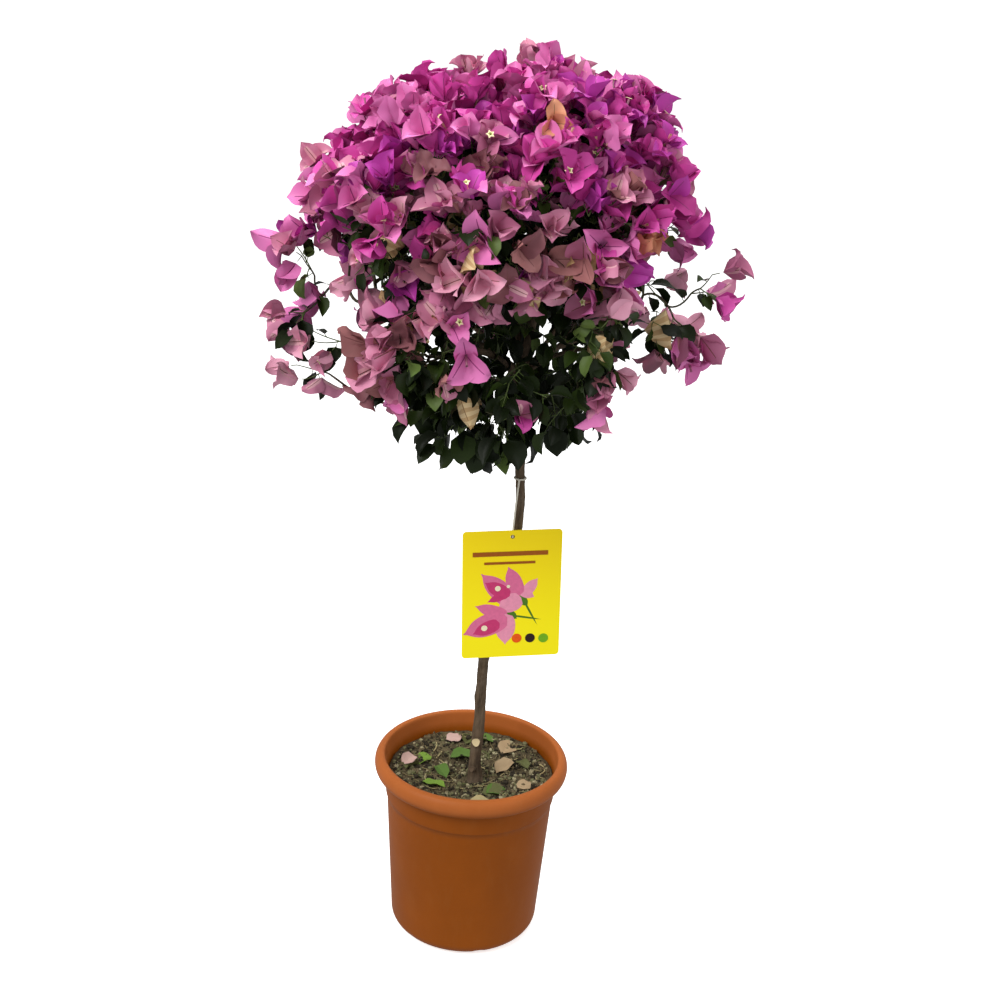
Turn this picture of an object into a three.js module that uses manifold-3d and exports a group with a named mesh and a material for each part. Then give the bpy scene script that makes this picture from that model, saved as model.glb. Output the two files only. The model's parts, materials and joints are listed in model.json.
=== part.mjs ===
// A bougainvillea grown as a small standard: a plastic pot of soil, one slender trunk, and a round head
// of short boughs, bract masses and a skirt of leaves, with a blank hang label tied under the head.
// Units are millimetres, +Z is up, and the origin is on the ground at the centre of the pot's underside.
import * as THREE from "three";
import { mergeVertices } from "three/addons/utils/BufferGeometryUtils.js";
import Module from "manifold-3d";

const wasm = await Module();
wasm.setup();

// ---------------------------------------------------------------- driving dimensions

const FIT_GAP = 0.4; // between a piece and the neighbour it rests on or is cut by

const POT = {
  rimRadius: 105,
  height: 206,
  rimHalfWidth: 7.5, // the rim is an upright oval in section, hollowed on its inner side
  rimHalfHeight: 10.5,
  rimInner: 95, // radius of its inner edge
  collarRadius: 93.7, // outside, just under the rim
  collarStepHeight: 159.5,
  collarStep: 1.3, // how far the collar stands out from the body below it
  bodyRadius: 81.3, // outside, just above the rounded bottom edge
  edgeRadius: 14,
  wall: 2.2,
  footInner: 60, // the flat foot ring reaches from here to the bottom edge
  padRadius: 24, // a flat pad in the middle of the underside
  recess: 3, // how far the underside is raised between pad and foot
  notches: 6, // drain notches across the foot ring
  notchWidth: 10,
  notchDepth: 2.2,
  holeRadius: 6,
  holeCircle: 42, // radius of the circle that the drain holes lie on
  segments: 28,
};

const SOIL = {
  level: 172.6, // at the trunk's foot
  flatRadius: 15, // round the foot
  heap: 11, // how much higher it lies at the wall
  roughness: 2.2,
  segments: POT.segments,
};

const TRUNK = {
  // centre line of the stem as [x, height]: a slow S, leaning to +X
  line: [
    [5, SOIL.level + FIT_GAP],
    [4, 197],
    [6, 238],
    [6, 282],
    [8, 326],
    [19.4, 390],
    [31.6, 449],
    [35.3, 493],
    [33, 538],
    [30, 593],
    [29, 629],
  ],
  footRadius: 6.3, // above the flare
  topRadius: 4,
  flare: 3.4, // extra radius at the cut
  flareHeight: 13,
  sides: 10,
  steps: 19,
};

// The side shoots cut off low on the stem, with the way each cut faces and how far it stands out
const CUT_SHOOTS = [
  { height: 221, azimuth: 262, radius: 4.2, reach: 2.2 },
  { height: 187, azimuth: 250, radius: 2.8, reach: 4.5 },
];

const FORK = { x: 29, y: 0, z: 633, radius: 12.5 }; // the knuckle that the boughs grow from

const BOUGH = { baseRadius: 2.5, tipRadius: 1.7, rise: 0.34, sides: 8, steps: 7 };
const SHOOT = { baseRadius: 1.7, tipRadius: 1.1, sides: 8, steps: 5 };

const MASS = { unevenness: 0.13, gap: 3, fineRadius: 54 };

// The head, ring by ring. A ring of count masses is spread round its own axis at x = axis. A leaning ring
// stands higher by its lean for each millimetre to +X and to +Y.
const RINGS = [
  { name: "crest", kind: "bracts", count: 1, axis: 27, reach: 0, height: 882, radius: 61.5 },
  { name: "shoulder", kind: "bracts", count: 6, axis: 5, reach: 95, height: 855, radius: 60.5 },
  { name: "upper", kind: "bracts", count: 8, axis: -9, reach: 134, height: 802, radius: 58.5 },
  { name: "skirt", kind: "leaves", count: 6, axis: 12, reach: 64, height: 609, radius: 46, flat: 0.78 },
  { name: "core", kind: "leaves", count: 1, axis: 15, reach: 0, height: 743, radius: 49 },
];
const RING_LEAN = { shoulder: [0.055, -0.055], upper: [0.04, 0.055], skirt: [0.09, 0.1] };

// The lower rim of the head is open, so its masses are placed one by one.
const RIM_MASSES = [
  { name: "rim_right", kind: "bracts", azimuth: 2, reach: 174, height: 698, radius: 51 },
  { name: "rim_back_right", kind: "bracts", azimuth: 48, reach: 160, height: 695, radius: 55 },
  { name: "rim_back", kind: "bracts", azimuth: 92, reach: 154, height: 693, radius: 56 },
  { name: "rim_back_left", kind: "bracts", azimuth: 136, reach: 162, height: 697, radius: 53 },
  { name: "rim_left_high", kind: "bracts", azimuth: 178, reach: 196, height: 746, radius: 36 },
  { name: "rim_left_low", kind: "bracts", azimuth: 182, reach: 185, height: 668, radius: 44 },
  { name: "rim_front_left", kind: "bracts", azimuth: 243, reach: 151, height: 678, radius: 56 },
  { name: "rim_front_leaves", kind: "leaves", azimuth: 284, reach: 104, height: 640, radius: 43 },
  { name: "rim_front_right", kind: "bracts", azimuth: 318, reach: 157, height: 693, radius: 52 },
  { name: "spray_left", kind: "bracts", azimuth: 183, reach: 202, height: 627, radius: 24.5, flat: 0.7 },
  { name: "spray_right", kind: "bracts", azimuth: 357, reach: 219, height: 738, radius: 19.5 },
];

// The masses that the boughs grow out to, and the thin shoots that join an outlying spray to the head
const BOUGH_TARGETS = [
  "core",
  "rim_right",
  "rim_back_right",
  "rim_back",
  "rim_back_left",
  "rim_left_low",
  "rim_front_left",
  "rim_front_right",
  "shoulder_2",
  "shoulder_6",
];
const SHOOTS = [
  { name: "shoot_left", from: [-61, 0, 589], bend: [-137, 0, 605], to: "rim_left_low" },
  { name: "shoot_right", from: [195, 0, 683], bend: [227, -6, 689], to: "spray_right" },
];

const LABEL = {
  width: 103,
  height: 142.5,
  thickness: 0.9,
  cornerRadius: 4,
  holeRadius: 2.3,
  holeDrop: 7, // from the top edge to the hole's centre
  hang: [29.7, -15.5, 467.5], // where the hole's centre is
  turn: -9, // degrees about the vertical, right edge forward
  tip: 2.2, // degrees out of plumb
};
const TIE = { height: 526, strandRadius: 0.9, slack: 1.2, sides: 6, steps: 9 };

const COLOURS = {
  pot: 0xb5652f,
  soil: 0x4b4533,
  bark: 0x6f6153,
  bracts: 0xb23a97,
  leaves: 0x2c3d1e,
  label: 0xf2d20c,
  tie: 0xe9e4d8,
};

// ---------------------------------------------------------------- helpers

function around(count) {
  return Array.from({ length: count }, (_, i) => (360 / count) * i);
}

function onRing(axis, azimuth, reach, height) {
  const turn = THREE.MathUtils.degToRad(azimuth);
  return new THREE.Vector3(axis + reach * Math.cos(turn), reach * Math.sin(turn), height);
}

// A smooth uneven number from -1 to 1 for a place, different for each seed
function uneven(x, y, z, seed) {
  const wave = (a, b, c, shift) => Math.sin(a * x + b * y + c * z + shift * seed + shift);
  return (wave(2.1, 1.3, 0.7, 1.7) + wave(-1.2, 2.6, 1.1, 2.9) + wave(0.8, -1.9, 2.8, 4.3)) / 3;
}

// manifold-3d solid from a closed three.js geometry
function solid(geometry) {
  const bare = geometry.clone();
  for (const name of Object.keys(bare.attributes)) if (name !== "position") bare.deleteAttribute(name);
  const merged = mergeVertices(bare, 1e-4);
  const made = new wasm.Manifold(
    new wasm.Mesh({
      numProp: 3,
      vertProperties: merged.attributes.position.array,
      triVerts: new Uint32Array(merged.index.array),
    }),
  );
  if (made.volume() <= 0) throw new Error("a geometry is inside out");
  return made;
}

function geometryOf(manifold) {
  const mesh = manifold.getMesh();
  const places = new Float32Array(mesh.numVert * 3);
  for (let i = 0; i < mesh.numVert; i++) {
    places.set(mesh.vertProperties.subarray(i * mesh.numProp, i * mesh.numProp + 3), i * 3);
  }
  const geometry = new THREE.BufferGeometry();
  geometry.setAttribute("position", new THREE.BufferAttribute(places, 3));
  geometry.setIndex(new THREE.BufferAttribute(mesh.triVerts, 1));
  geometry.computeVertexNormals();
  return geometry;
}

// The body of a cut solid that holds most of it, or that lies nearest a point
function largest(manifold) {
  return manifold.decompose().reduce((best, body) => (body.volume() > best.volume() ? body : best));
}

function nearest(manifold, point) {
  const distance = (body) => {
    const { min, max } = body.boundingBox();
    const box = new THREE.Box3(new THREE.Vector3(...min), new THREE.Vector3(...max));
    return box.distanceToPoint(point);
  };
  return manifold.decompose().reduce((best, body) => (distance(body) < distance(best) ? body : best));
}

// A solid of revolution about +Z from [radius, height] pairs that run from the axis round to the axis
function revolved(profile, segments) {
  const points = profile.map(([radius, height]) => new THREE.Vector2(radius, height));
  return new THREE.LatheGeometry(points, segments).rotateX(Math.PI / 2);
}

// Points of a round or oval arc for a profile, angles in degrees from the outward direction
function arc([radius, height], [halfWidth, halfHeight], [from, to], steps) {
  return Array.from({ length: steps + 1 }, (_, i) => {
    const turn = THREE.MathUtils.degToRad(from + ((to - from) * i) / steps);
    return [radius + halfWidth * Math.cos(turn), height + halfHeight * Math.sin(turn)];
  });
}

// A limb: a capped cylinder bent along a curve, with radiusAt(share, angle) as its radius. A limb with
// level sections starts and ends in a level cut. Any other has its sections square to the curve.
function limb(curve, radiusAt, { sides, steps, level = false }) {
  const geometry = new THREE.CylinderGeometry(1, 1, 1, sides, steps);
  const frames = curve.computeFrenetFrames(steps);
  const place = geometry.attributes.position;
  const middle = new THREE.Vector3();
  for (let i = 0; i < place.count; i++) {
    const across = place.getX(i);
    const along = place.getZ(i);
    const share = place.getY(i) + 0.5;
    const ring = Math.round(share * steps);
    const right = level ? new THREE.Vector3(0, 1, 0) : frames.binormals[ring];
    const front = level ? new THREE.Vector3(1, 0, 0) : frames.normals[ring];
    const radius = radiusAt(share, Math.atan2(along, across));
    curve.getPoint(share, middle);
    middle.addScaledVector(right, across * radius).addScaledVector(front, along * radius);
    place.setXYZ(i, middle.x, middle.y, middle.z);
  }
  return solid(geometry);
}

// ---------------------------------------------------------------- pot and soil

const RIM_FOOT = POT.height - 2 * POT.rimHalfHeight;

// The inside of the pot's wall at a height, less a gap
function potInside(height, gap = 0) {
  const share = (height - POT.edgeRadius) / (RIM_FOOT - POT.edgeRadius);
  return THREE.MathUtils.lerp(POT.bodyRadius, POT.collarRadius, share) - POT.wall - POT.collarStep - gap;
}

function makePot() {
  const { rimRadius, height, rimHalfWidth, rimHalfHeight, wall, recess, edgeRadius } = POT;
  const floor = recess + wall;
  const stepRadius = potInside(POT.collarStepHeight) + wall;
  const rimMiddle = [rimRadius - rimHalfWidth, height - rimHalfHeight];
  const edgeMiddle = [POT.bodyRadius - edgeRadius, edgeRadius];
  const profile = [
    [0, 0],
    [POT.padRadius, 0],
    [POT.padRadius + recess, recess],
    [POT.footInner - recess, recess],
    [POT.footInner, 0],
    ...arc(edgeMiddle, [edgeRadius, edgeRadius], [-90, 0], 4),
    [stepRadius, POT.collarStepHeight],
    [stepRadius + POT.collarStep, POT.collarStepHeight + 1],
    [POT.collarRadius, RIM_FOOT],
    ...arc(rimMiddle, [rimHalfWidth, rimHalfHeight], [-90, 105], 8),
    [POT.rimInner - 0.6, height - 2.5],
    [potInside(RIM_FOOT), RIM_FOOT],
    [potInside(edgeRadius + floor), edgeRadius + floor],
    [potInside(edgeRadius + floor) - edgeRadius, floor],
    [0, floor],
  ];
  let pot = solid(revolved(profile, POT.segments));
  for (const azimuth of around(POT.notches)) {
    const reach = POT.bodyRadius - POT.footInner + 12;
    const notch = new THREE.BoxGeometry(reach, POT.notchWidth, POT.notchDepth * 2)
      .translate((POT.bodyRadius + POT.footInner) / 2, 0, 0)
      .rotateZ(THREE.MathUtils.degToRad(azimuth + 45));
    const hole = new THREE.CylinderGeometry(POT.holeRadius, POT.holeRadius, 4 * floor, 8)
      .rotateX(Math.PI / 2)
      .translate(POT.holeCircle, 0, floor)
      .rotateZ(THREE.MathUtils.degToRad(azimuth));
    pot = pot.subtract(solid(notch)).subtract(solid(hole));
  }
  return pot;
}

function soilHeight(x, y) {
  const out = Math.hypot(x, y);
  const spread = THREE.MathUtils.smoothstep(out, SOIL.flatRadius, 80);
  const grain = SOIL.roughness * uneven(x / 13, y / 13, 0, 3) * THREE.MathUtils.smoothstep(out, 14, 30);
  return SOIL.level + SOIL.heap * spread + grain;
}

function makeSoil() {
  const floor = POT.recess + POT.wall + FIT_GAP;
  const corner = POT.edgeRadius + floor;
  const top = SOIL.level + SOIL.heap;
  const topRadius = potInside(top, FIT_GAP);
  const rings = [1, 0.86, 0.7, 0.52, 0.34, 0.19, 0];
  const profile = [
    [0, floor],
    [potInside(corner, FIT_GAP) - POT.edgeRadius, floor],
    [potInside(corner, FIT_GAP), corner],
    ...rings.map((share) => [share * topRadius, top]),
  ];
  const geometry = revolved(profile, SOIL.segments);
  const place = geometry.attributes.position;
  for (let i = 0; i < place.count; i++) {
    if (place.getZ(i) > top - 1) place.setZ(i, soilHeight(place.getX(i), place.getY(i)));
  }
  return solid(geometry);
}

// ---------------------------------------------------------------- trunk

const trunkPoints = TRUNK.line.map(([x, height]) => new THREE.Vector3(x, 0, height));
const trunkLine = new THREE.CatmullRomCurve3(trunkPoints);

function trunkRadius(share, angle, extra = 0) {
  const climbed = share * (FORK.z - SOIL.level);
  const flare = TRUNK.flare * Math.exp(-climbed / TRUNK.flareHeight);
  const roots = 1 + 0.3 * Math.cos(3 * angle + 0.7);
  const knots = 0.35 * Math.sin(9 * share * Math.PI + 2 * angle);
  return THREE.MathUtils.lerp(TRUNK.footRadius, TRUNK.topRadius, share) + flare * roots + knots + extra;
}

function trunkPointAt(height) {
  let low = 0;
  let high = 1;
  for (let i = 0; i < 30; i++) {
    const middle = (low + high) / 2;
    if (trunkLine.getPoint(middle).z < height) low = middle;
    else high = middle;
  }
  return trunkLine.getPoint(low);
}

function cutShoot({ height, azimuth, radius, reach }) {
  const facing = onRing(0, azimuth, 1, 0.35).normalize();
  const length = reach + TRUNK.footRadius;
  const turn = new THREE.Quaternion().setFromUnitVectors(new THREE.Vector3(0, 1, 0), facing);
  const start = trunkPointAt(height).addScaledVector(facing, length / 2);
  const stub = new THREE.CylinderGeometry(radius, radius * 1.15, length, 10);
  return solid(stub.applyQuaternion(turn).translate(start.x, start.y, start.z));
}

function makeKnuckle(extra = 0) {
  return solid(new THREE.IcosahedronGeometry(FORK.radius + extra, 1).translate(FORK.x, FORK.y, FORK.z));
}

function makeTrunk(extra = 0) {
  const stem = limb(trunkLine, (share, angle) => trunkRadius(share, angle, extra), { ...TRUNK, level: true });
  return CUT_SHOOTS.reduce((all, shoot) => all.add(cutShoot(shoot)), stem.add(makeKnuckle(extra - FIT_GAP)));
}

// ---------------------------------------------------------------- masses of the head

function massList() {
  const ringed = RINGS.flatMap(({ name, count, axis, reach, height, ...rest }) =>
    around(count).map((azimuth, i) => {
      const lean = RING_LEAN[name] ?? [0, 0];
      const centre = onRing(axis, azimuth, reach, height);
      centre.z += (centre.x - axis) * lean[0] + centre.y * lean[1];
      return { ...rest, name: count > 1 ? `${name}_${i + 1}` : name, centre };
    }),
  );
  const placed = RIM_MASSES.map(({ azimuth, reach, height, ...rest }) => ({
    ...rest,
    centre: onRing(0, azimuth, reach, height),
  }));
  return [...ringed, ...placed].map((mass, seed) => ({ flat: 1, seed, ...mass }));
}

// The uneven ball of one mass, made larger by grow
function ball({ centre, radius, flat, seed }, grow) {
  const geometry = new THREE.IcosahedronGeometry(1, radius > MASS.fineRadius ? 2 : 1);
  const place = geometry.attributes.position;
  for (let i = 0; i < place.count; i++) {
    const [x, y, z] = [place.getX(i), place.getY(i), place.getZ(i)];
    const out = radius * (1 + MASS.unevenness * uneven(x * 1.6, y * 1.6, z * 1.6, seed)) + grow;
    place.setXYZ(i, centre.x + x * out, centre.y + y * out, centre.z + z * out * flat);
  }
  return solid(geometry);
}

// Cuts a mass back to the plane half-way to each neighbour that it reaches, less half the gap
function partFromNeighbours(shape, mass, others, grow) {
  for (const other of others) {
    const way = other.centre.clone().sub(mass.centre);
    const apart = way.length();
    if (other === mass || apart > (mass.radius + other.radius) * 1.2) continue;
    way.divideScalar(apart);
    const share = (apart ** 2 + mass.radius ** 2 - other.radius ** 2) / (2 * apart);
    const offset = mass.centre.dot(way) + share - MASS.gap / 2 + grow;
    shape = shape.trimByPlane([-way.x, -way.y, -way.z], -offset);
  }
  return shape;
}

function massSolid(mass, others, grow = 0) {
  return partFromNeighbours(ball(mass, grow), mass, others, grow);
}

// ---------------------------------------------------------------- boughs and shoots

function boughTo(target) {
  const start = new THREE.Vector3(FORK.x, FORK.y, FORK.z);
  const end = target.centre;
  const rise = start.distanceTo(end) * BOUGH.rise;
  const bend = start.clone().lerp(end, 0.4).setZ(start.z + rise);
  const curve = new THREE.QuadraticBezierCurve3(start, bend, end);
  const radius = (share) => THREE.MathUtils.lerp(BOUGH.baseRadius, BOUGH.tipRadius, share);
  return limb(curve, radius, BOUGH);
}

function shootTo({ from, bend, to }, masses) {
  const end = masses.find((mass) => mass.name === to).centre;
  const curve = new THREE.QuadraticBezierCurve3(new THREE.Vector3(...from), new THREE.Vector3(...bend), end);
  const radius = (share) => THREE.MathUtils.lerp(SHOOT.baseRadius, SHOOT.tipRadius, share);
  return limb(curve, radius, SHOOT);
}

// ---------------------------------------------------------------- label and tie

function makeLabel() {
  const { width, height, cornerRadius: corner } = LABEL;
  const top = LABEL.holeDrop;
  const outline = new THREE.Shape();
  outline.absarc(width / 2 - corner, top - corner, corner, 0, Math.PI / 2);
  outline.absarc(-width / 2 + corner, top - corner, corner, Math.PI / 2, Math.PI);
  outline.absarc(-width / 2 + corner, top - height + corner, corner, Math.PI, Math.PI * 1.5);
  outline.absarc(width / 2 - corner, top - height + corner, corner, Math.PI * 1.5, Math.PI * 2);
  outline.holes.push(new THREE.Path().absarc(0, 0, LABEL.holeRadius, 0, Math.PI * 2, true));
  const build = { depth: LABEL.thickness, bevelEnabled: false, curveSegments: 4 };
  const card = new THREE.ExtrudeGeometry(outline, build);
  card.translate(0, 0, -LABEL.thickness / 2).rotateX(Math.PI / 2);
  card.rotateY(-THREE.MathUtils.degToRad(LABEL.tip)).rotateZ(-THREE.MathUtils.degToRad(LABEL.turn));
  return solid(card.translate(...LABEL.hang));
}

// A loop round the stem with one strand hanging from its front, down behind the label and out of the hole
function makeTie() {
  const held = trunkPointAt(TIE.height);
  const loopRadius = TRUNK.topRadius + TIE.strandRadius + TIE.slack;
  const [x, y, z] = LABEL.hang;
  const loop = new THREE.TorusGeometry(loopRadius, TIE.strandRadius, TIE.sides, 12);
  loop.translate(held.x, held.y, held.z);
  const behind = y + 3.4;
  const strand = new THREE.CatmullRomCurve3([
    new THREE.Vector3(held.x - 1, held.y - loopRadius, held.z),
    new THREE.Vector3(x + 1, behind, z + 30),
    new THREE.Vector3(x, behind, z + 7),
    new THREE.Vector3(x, y + 1.5, z + 0.5),
    new THREE.Vector3(x, y - 1.6, z),
  ]);
  return solid(loop).add(limb(strand, () => TIE.strandRadius, TIE));
}

// ---------------------------------------------------------------- assembly

function finish(name) {
  const roughness = name === "pot" ? 0.5 : name === "label" ? 0.35 : 0.8;
  return new THREE.MeshStandardMaterial({ color: COLOURS[name], roughness, metalness: 0 });
}

const materials = Object.fromEntries(Object.keys(COLOURS).map((name) => [name, finish(name)]));
const plant = new THREE.Group();
plant.name = "potted_bougainvillea";

function addNode(group, name, manifold, material) {
  const mesh = new THREE.Mesh(geometryOf(manifold), materials[material]);
  mesh.name = name;
  group.add(mesh);
}

function buildPlant() {
  const masses = massList();
  const stem = makeTrunk();
  const stemClearance = makeTrunk(FIT_GAP + 0.6);
  const grown = masses.map((mass) => massSolid(mass, masses, FIT_GAP));

  const container = new THREE.Group();
  addNode(container, "pot", makePot(), "pot");
  addNode(container, "soil", makeSoil(), "soil");

  const wood = new THREE.Group();
  addNode(wood, "trunk", stem, "bark");
  const knuckle = makeKnuckle();
  const fork = new THREE.Vector3(FORK.x, FORK.y, FORK.z);
  for (const name of BOUGH_TARGETS) {
    const whole = boughTo(masses.find((mass) => mass.name === name)).subtract(knuckle);
    const cut = grown.reduce((left, mass) => left.subtract(mass), whole);
    addNode(wood, `bough_to_${name}`, nearest(cut, fork), "bark");
  }
  for (const shoot of SHOOTS) {
    const cut = grown.reduce((left, mass) => left.subtract(mass), shootTo(shoot, masses));
    addNode(wood, shoot.name, largest(cut), "bark");
  }

  const head = new THREE.Group();
  for (const mass of masses) {
    addNode(head, mass.name, largest(massSolid(mass, masses).subtract(stemClearance)), mass.kind);
  }

  const tag = new THREE.Group();
  addNode(tag, "label", makeLabel(), "label");
  addNode(tag, "label_tie", makeTie(), "tie");
  plant.add(container, wood, head, tag);
}

buildPlant();

export default plant;
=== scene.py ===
import json
import math
from functools import lru_cache
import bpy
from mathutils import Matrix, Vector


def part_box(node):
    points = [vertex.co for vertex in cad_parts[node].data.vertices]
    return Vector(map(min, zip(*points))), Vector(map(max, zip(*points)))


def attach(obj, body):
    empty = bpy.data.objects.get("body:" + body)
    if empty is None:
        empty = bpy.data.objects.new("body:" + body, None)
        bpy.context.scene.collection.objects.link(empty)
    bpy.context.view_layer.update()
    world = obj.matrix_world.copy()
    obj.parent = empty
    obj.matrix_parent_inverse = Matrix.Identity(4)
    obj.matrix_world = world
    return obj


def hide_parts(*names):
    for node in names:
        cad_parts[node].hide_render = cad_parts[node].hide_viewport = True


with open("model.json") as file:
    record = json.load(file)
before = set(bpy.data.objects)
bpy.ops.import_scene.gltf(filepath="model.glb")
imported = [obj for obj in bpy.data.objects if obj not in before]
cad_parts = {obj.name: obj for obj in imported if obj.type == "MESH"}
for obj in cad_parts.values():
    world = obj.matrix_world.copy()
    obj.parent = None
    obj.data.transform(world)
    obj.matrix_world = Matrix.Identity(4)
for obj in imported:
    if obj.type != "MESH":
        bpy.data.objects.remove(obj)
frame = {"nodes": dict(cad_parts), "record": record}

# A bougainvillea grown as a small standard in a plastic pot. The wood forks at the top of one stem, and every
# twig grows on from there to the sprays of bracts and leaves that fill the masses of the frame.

from types import SimpleNamespace

import bmesh
import bpy
import numpy as np
from mathutils import Matrix, Vector, noise
from mathutils.bvhtree import BVHTree

bl_info = {
    "name": "Potted Bougainvillea",
    "version": (1, 0, 0),
    "blender": (4, 5, 0),
    "location": "3D View > Sidebar > Bougainvillea",
    "description": "Builds a bougainvillea standard in its pot around a packed frame",
    "category": "Object",
}

MM = 0.001
UP = np.array([0.0, 0.0, 1.0])
NODES = frame["nodes"]
SLOTS = {part["node"]: part["material_slot"] for part in frame["record"]["subparts"]}
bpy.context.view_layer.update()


# ---------------------------------------------------------------- colours and finishes

def tone(code):
    """Linear colour from a six-digit display colour."""
    parts = [int(code[i:i + 2], 16) / 255 for i in (0, 2, 4)]
    return tuple(p / 12.92 if p <= 0.04045 else ((p + 0.055) / 1.055) ** 2.4 for p in parts)


def plain_finish(name, colour, roughness, specular=0.35):
    """One even colour, set on the shader's own sockets."""
    material = bpy.data.materials.new(name)
    material.use_nodes = True
    shader = material.node_tree.nodes["Principled BSDF"]
    shader.inputs["Base Color"].default_value = (*colour, 1)
    shader.inputs["Roughness"].default_value = roughness
    shader.inputs["Specular IOR Level"].default_value = specular
    return material


def plain_finishes(**looks):
    """Plain finishes by name, each from its display colour and roughness."""
    return [plain_finish(name, tone(code), rough) for name, (code, rough) in looks.items()]


class Finish:
    """A patterned finish, built up node by node."""

    def __init__(self, name, roughness, specular=0.4):
        self.material = bpy.data.materials.new(name)
        self.material.use_nodes = True
        self.tree = self.material.node_tree
        self.shader = self.tree.nodes["Principled BSDF"]
        self.shader.inputs["Roughness"].default_value = roughness
        self.shader.inputs["Specular IOR Level"].default_value = specular
        self.place = self.tree.nodes.new("ShaderNodeTexCoord").outputs["Object"]

    def link(self, source, target):
        self.tree.links.new(source, target)

    def stretched(self, scale):
        node = self.tree.nodes.new("ShaderNodeMapping")
        node.inputs["Scale"].default_value = scale
        self.link(self.place, node.inputs["Vector"])
        return node.outputs["Vector"]

    def noise(self, scale, detail=4.0, roughness=0.6, stretch=(1, 1, 1)):
        node = self.tree.nodes.new("ShaderNodeTexNoise")
        node.inputs["Scale"].default_value = scale
        node.inputs["Detail"].default_value = detail
        node.inputs["Roughness"].default_value = roughness
        self.link(self.stretched(stretch), node.inputs["Vector"])
        return node.outputs["Fac"]

    def ramp(self, factor, stops):
        node = self.tree.nodes.new("ShaderNodeValToRGB")
        self.link(factor, node.inputs["Fac"])
        elements = node.color_ramp.elements
        while len(elements) < len(stops):
            elements.new(0.5)
        for element, (position, colour) in zip(elements, stops):
            element.position = position
            element.color = (*colour, 1)
        return node.outputs["Color"]

    def mix(self, factor, first, second):
        node = self.tree.nodes.new("ShaderNodeMix")
        node.data_type = "RGBA"
        self.link(factor, node.inputs["Factor"])
        self.link(first, node.inputs["A"])
        self.link(second, node.inputs["B"])
        return node.outputs["Result"]

    def height_share(self, low, high):
        """0 below the lower height and 1 above the higher."""
        split = self.tree.nodes.new("ShaderNodeSeparateXYZ")
        self.link(self.place, split.inputs["Vector"])
        span = self.tree.nodes.new("ShaderNodeMapRange")
        span.inputs["From Min"].default_value = low
        span.inputs["From Max"].default_value = high
        self.link(split.outputs["Z"], span.inputs["Value"])
        return span.outputs["Result"]

    def colour(self, source):
        self.link(source, self.shader.inputs["Base Color"])

    def roughness(self, factor, low, high):
        span = self.tree.nodes.new("ShaderNodeMapRange")
        span.inputs["To Min"].default_value = low
        span.inputs["To Max"].default_value = high
        self.link(factor, span.inputs["Value"])
        self.link(span.outputs["Result"], self.shader.inputs["Roughness"])

    def relief(self, heights, depth, strength=1.0):
        node = self.tree.nodes.new("ShaderNodeBump")
        node.inputs["Strength"].default_value = strength
        node.inputs["Distance"].default_value = depth
        self.link(heights, node.inputs["Height"])
        self.link(node.outputs["Normal"], self.shader.inputs["Normal"])


# ---------------------------------------------------------------- meshes

def add_piece(name, points, faces, materials, material_of=None, replaces=(), smooth=True):
    """Makes an object from quads, puts it on the frame's body, and hides the parts that it stands for."""
    faces = np.asarray(faces, dtype=np.int32)
    mesh = bpy.data.meshes.new(name)
    mesh.vertices.add(len(points))
    mesh.vertices.foreach_set("co", np.asarray(points, dtype=np.float32).ravel())
    mesh.loops.add(faces.size)
    mesh.loops.foreach_set("vertex_index", faces.ravel())
    mesh.polygons.add(len(faces))
    mesh.polygons.foreach_set("loop_start", np.arange(0, faces.size, faces.shape[1], dtype=np.int32))
    if material_of is not None:
        mesh.polygons.foreach_set("material_index", np.asarray(material_of, dtype=np.int32))
    mesh.update(calc_edges=True)
    mesh.polygons.foreach_set("use_smooth", np.full(len(faces), smooth))
    for material in materials:
        mesh.materials.append(material)
    piece = bpy.data.objects.new(name, mesh)
    bpy.context.scene.collection.objects.link(piece)
    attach(piece, "root")
    if replaces:
        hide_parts(*replaces)
    return piece


def unit(vectors):
    return vectors / np.maximum(np.linalg.norm(vectors, axis=-1, keepdims=True), 1e-9)


def grid_faces(rows, columns, closed=False):
    """Quads of one grid of rows by columns of points, whose last column may meet its first."""
    row = np.arange(rows - 1)[:, None]
    column = np.arange(columns if closed else columns - 1)[None, :]
    beside = (column + 1) % columns
    quads = [row * columns + column, row * columns + beside,
             (row + 1) * columns + beside, (row + 1) * columns + column]
    return np.stack([q.ravel() for q in np.broadcast_arrays(*quads)], axis=1)


def many_grids(points, closed=False):
    """Joins grids of points, given as (count, rows, columns, 3), into one list of points and one of quads."""
    count, rows, columns, _ = points.shape
    faces = grid_faces(rows, columns, closed)
    starts = np.arange(count)[:, None, None] * rows * columns
    return points.reshape(-1, 3), (faces[None] + starts).reshape(-1, 4)


def joined(parts):
    """Joins (points, faces, material index of each face) parts."""
    points, faces, marks, start = [], [], [], 0
    for part_points, part_faces, part_marks in parts:
        points.append(part_points)
        faces.append(part_faces + start)
        marks.append(np.broadcast_to(part_marks, len(part_faces)))
        start += len(part_points)
    return np.concatenate(points), np.concatenate(faces), np.concatenate(marks)


def tubes(paths, radii, sides):
    """Round tubes along many paths at once: paths (count, steps, 3), radii (count, steps)."""
    along = unit(np.gradient(paths, axis=1))
    overall = unit(paths[:, -1] - paths[:, 0])
    helper = np.where(np.abs(overall[:, 2:]) > 0.8, [[1.0, 0.0, 0.0]], [[0.0, 0.0, 1.0]])
    across = unit(np.cross(along, helper[:, None]))
    beyond = np.cross(along, across)
    turn = np.linspace(0, 2 * math.pi, sides, endpoint=False)
    ring = (across[:, :, None] * np.cos(turn)[:, None] + beyond[:, :, None] * np.sin(turn)[:, None])
    return paths[:, :, None] + ring * radii[:, :, None, None]


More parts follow.
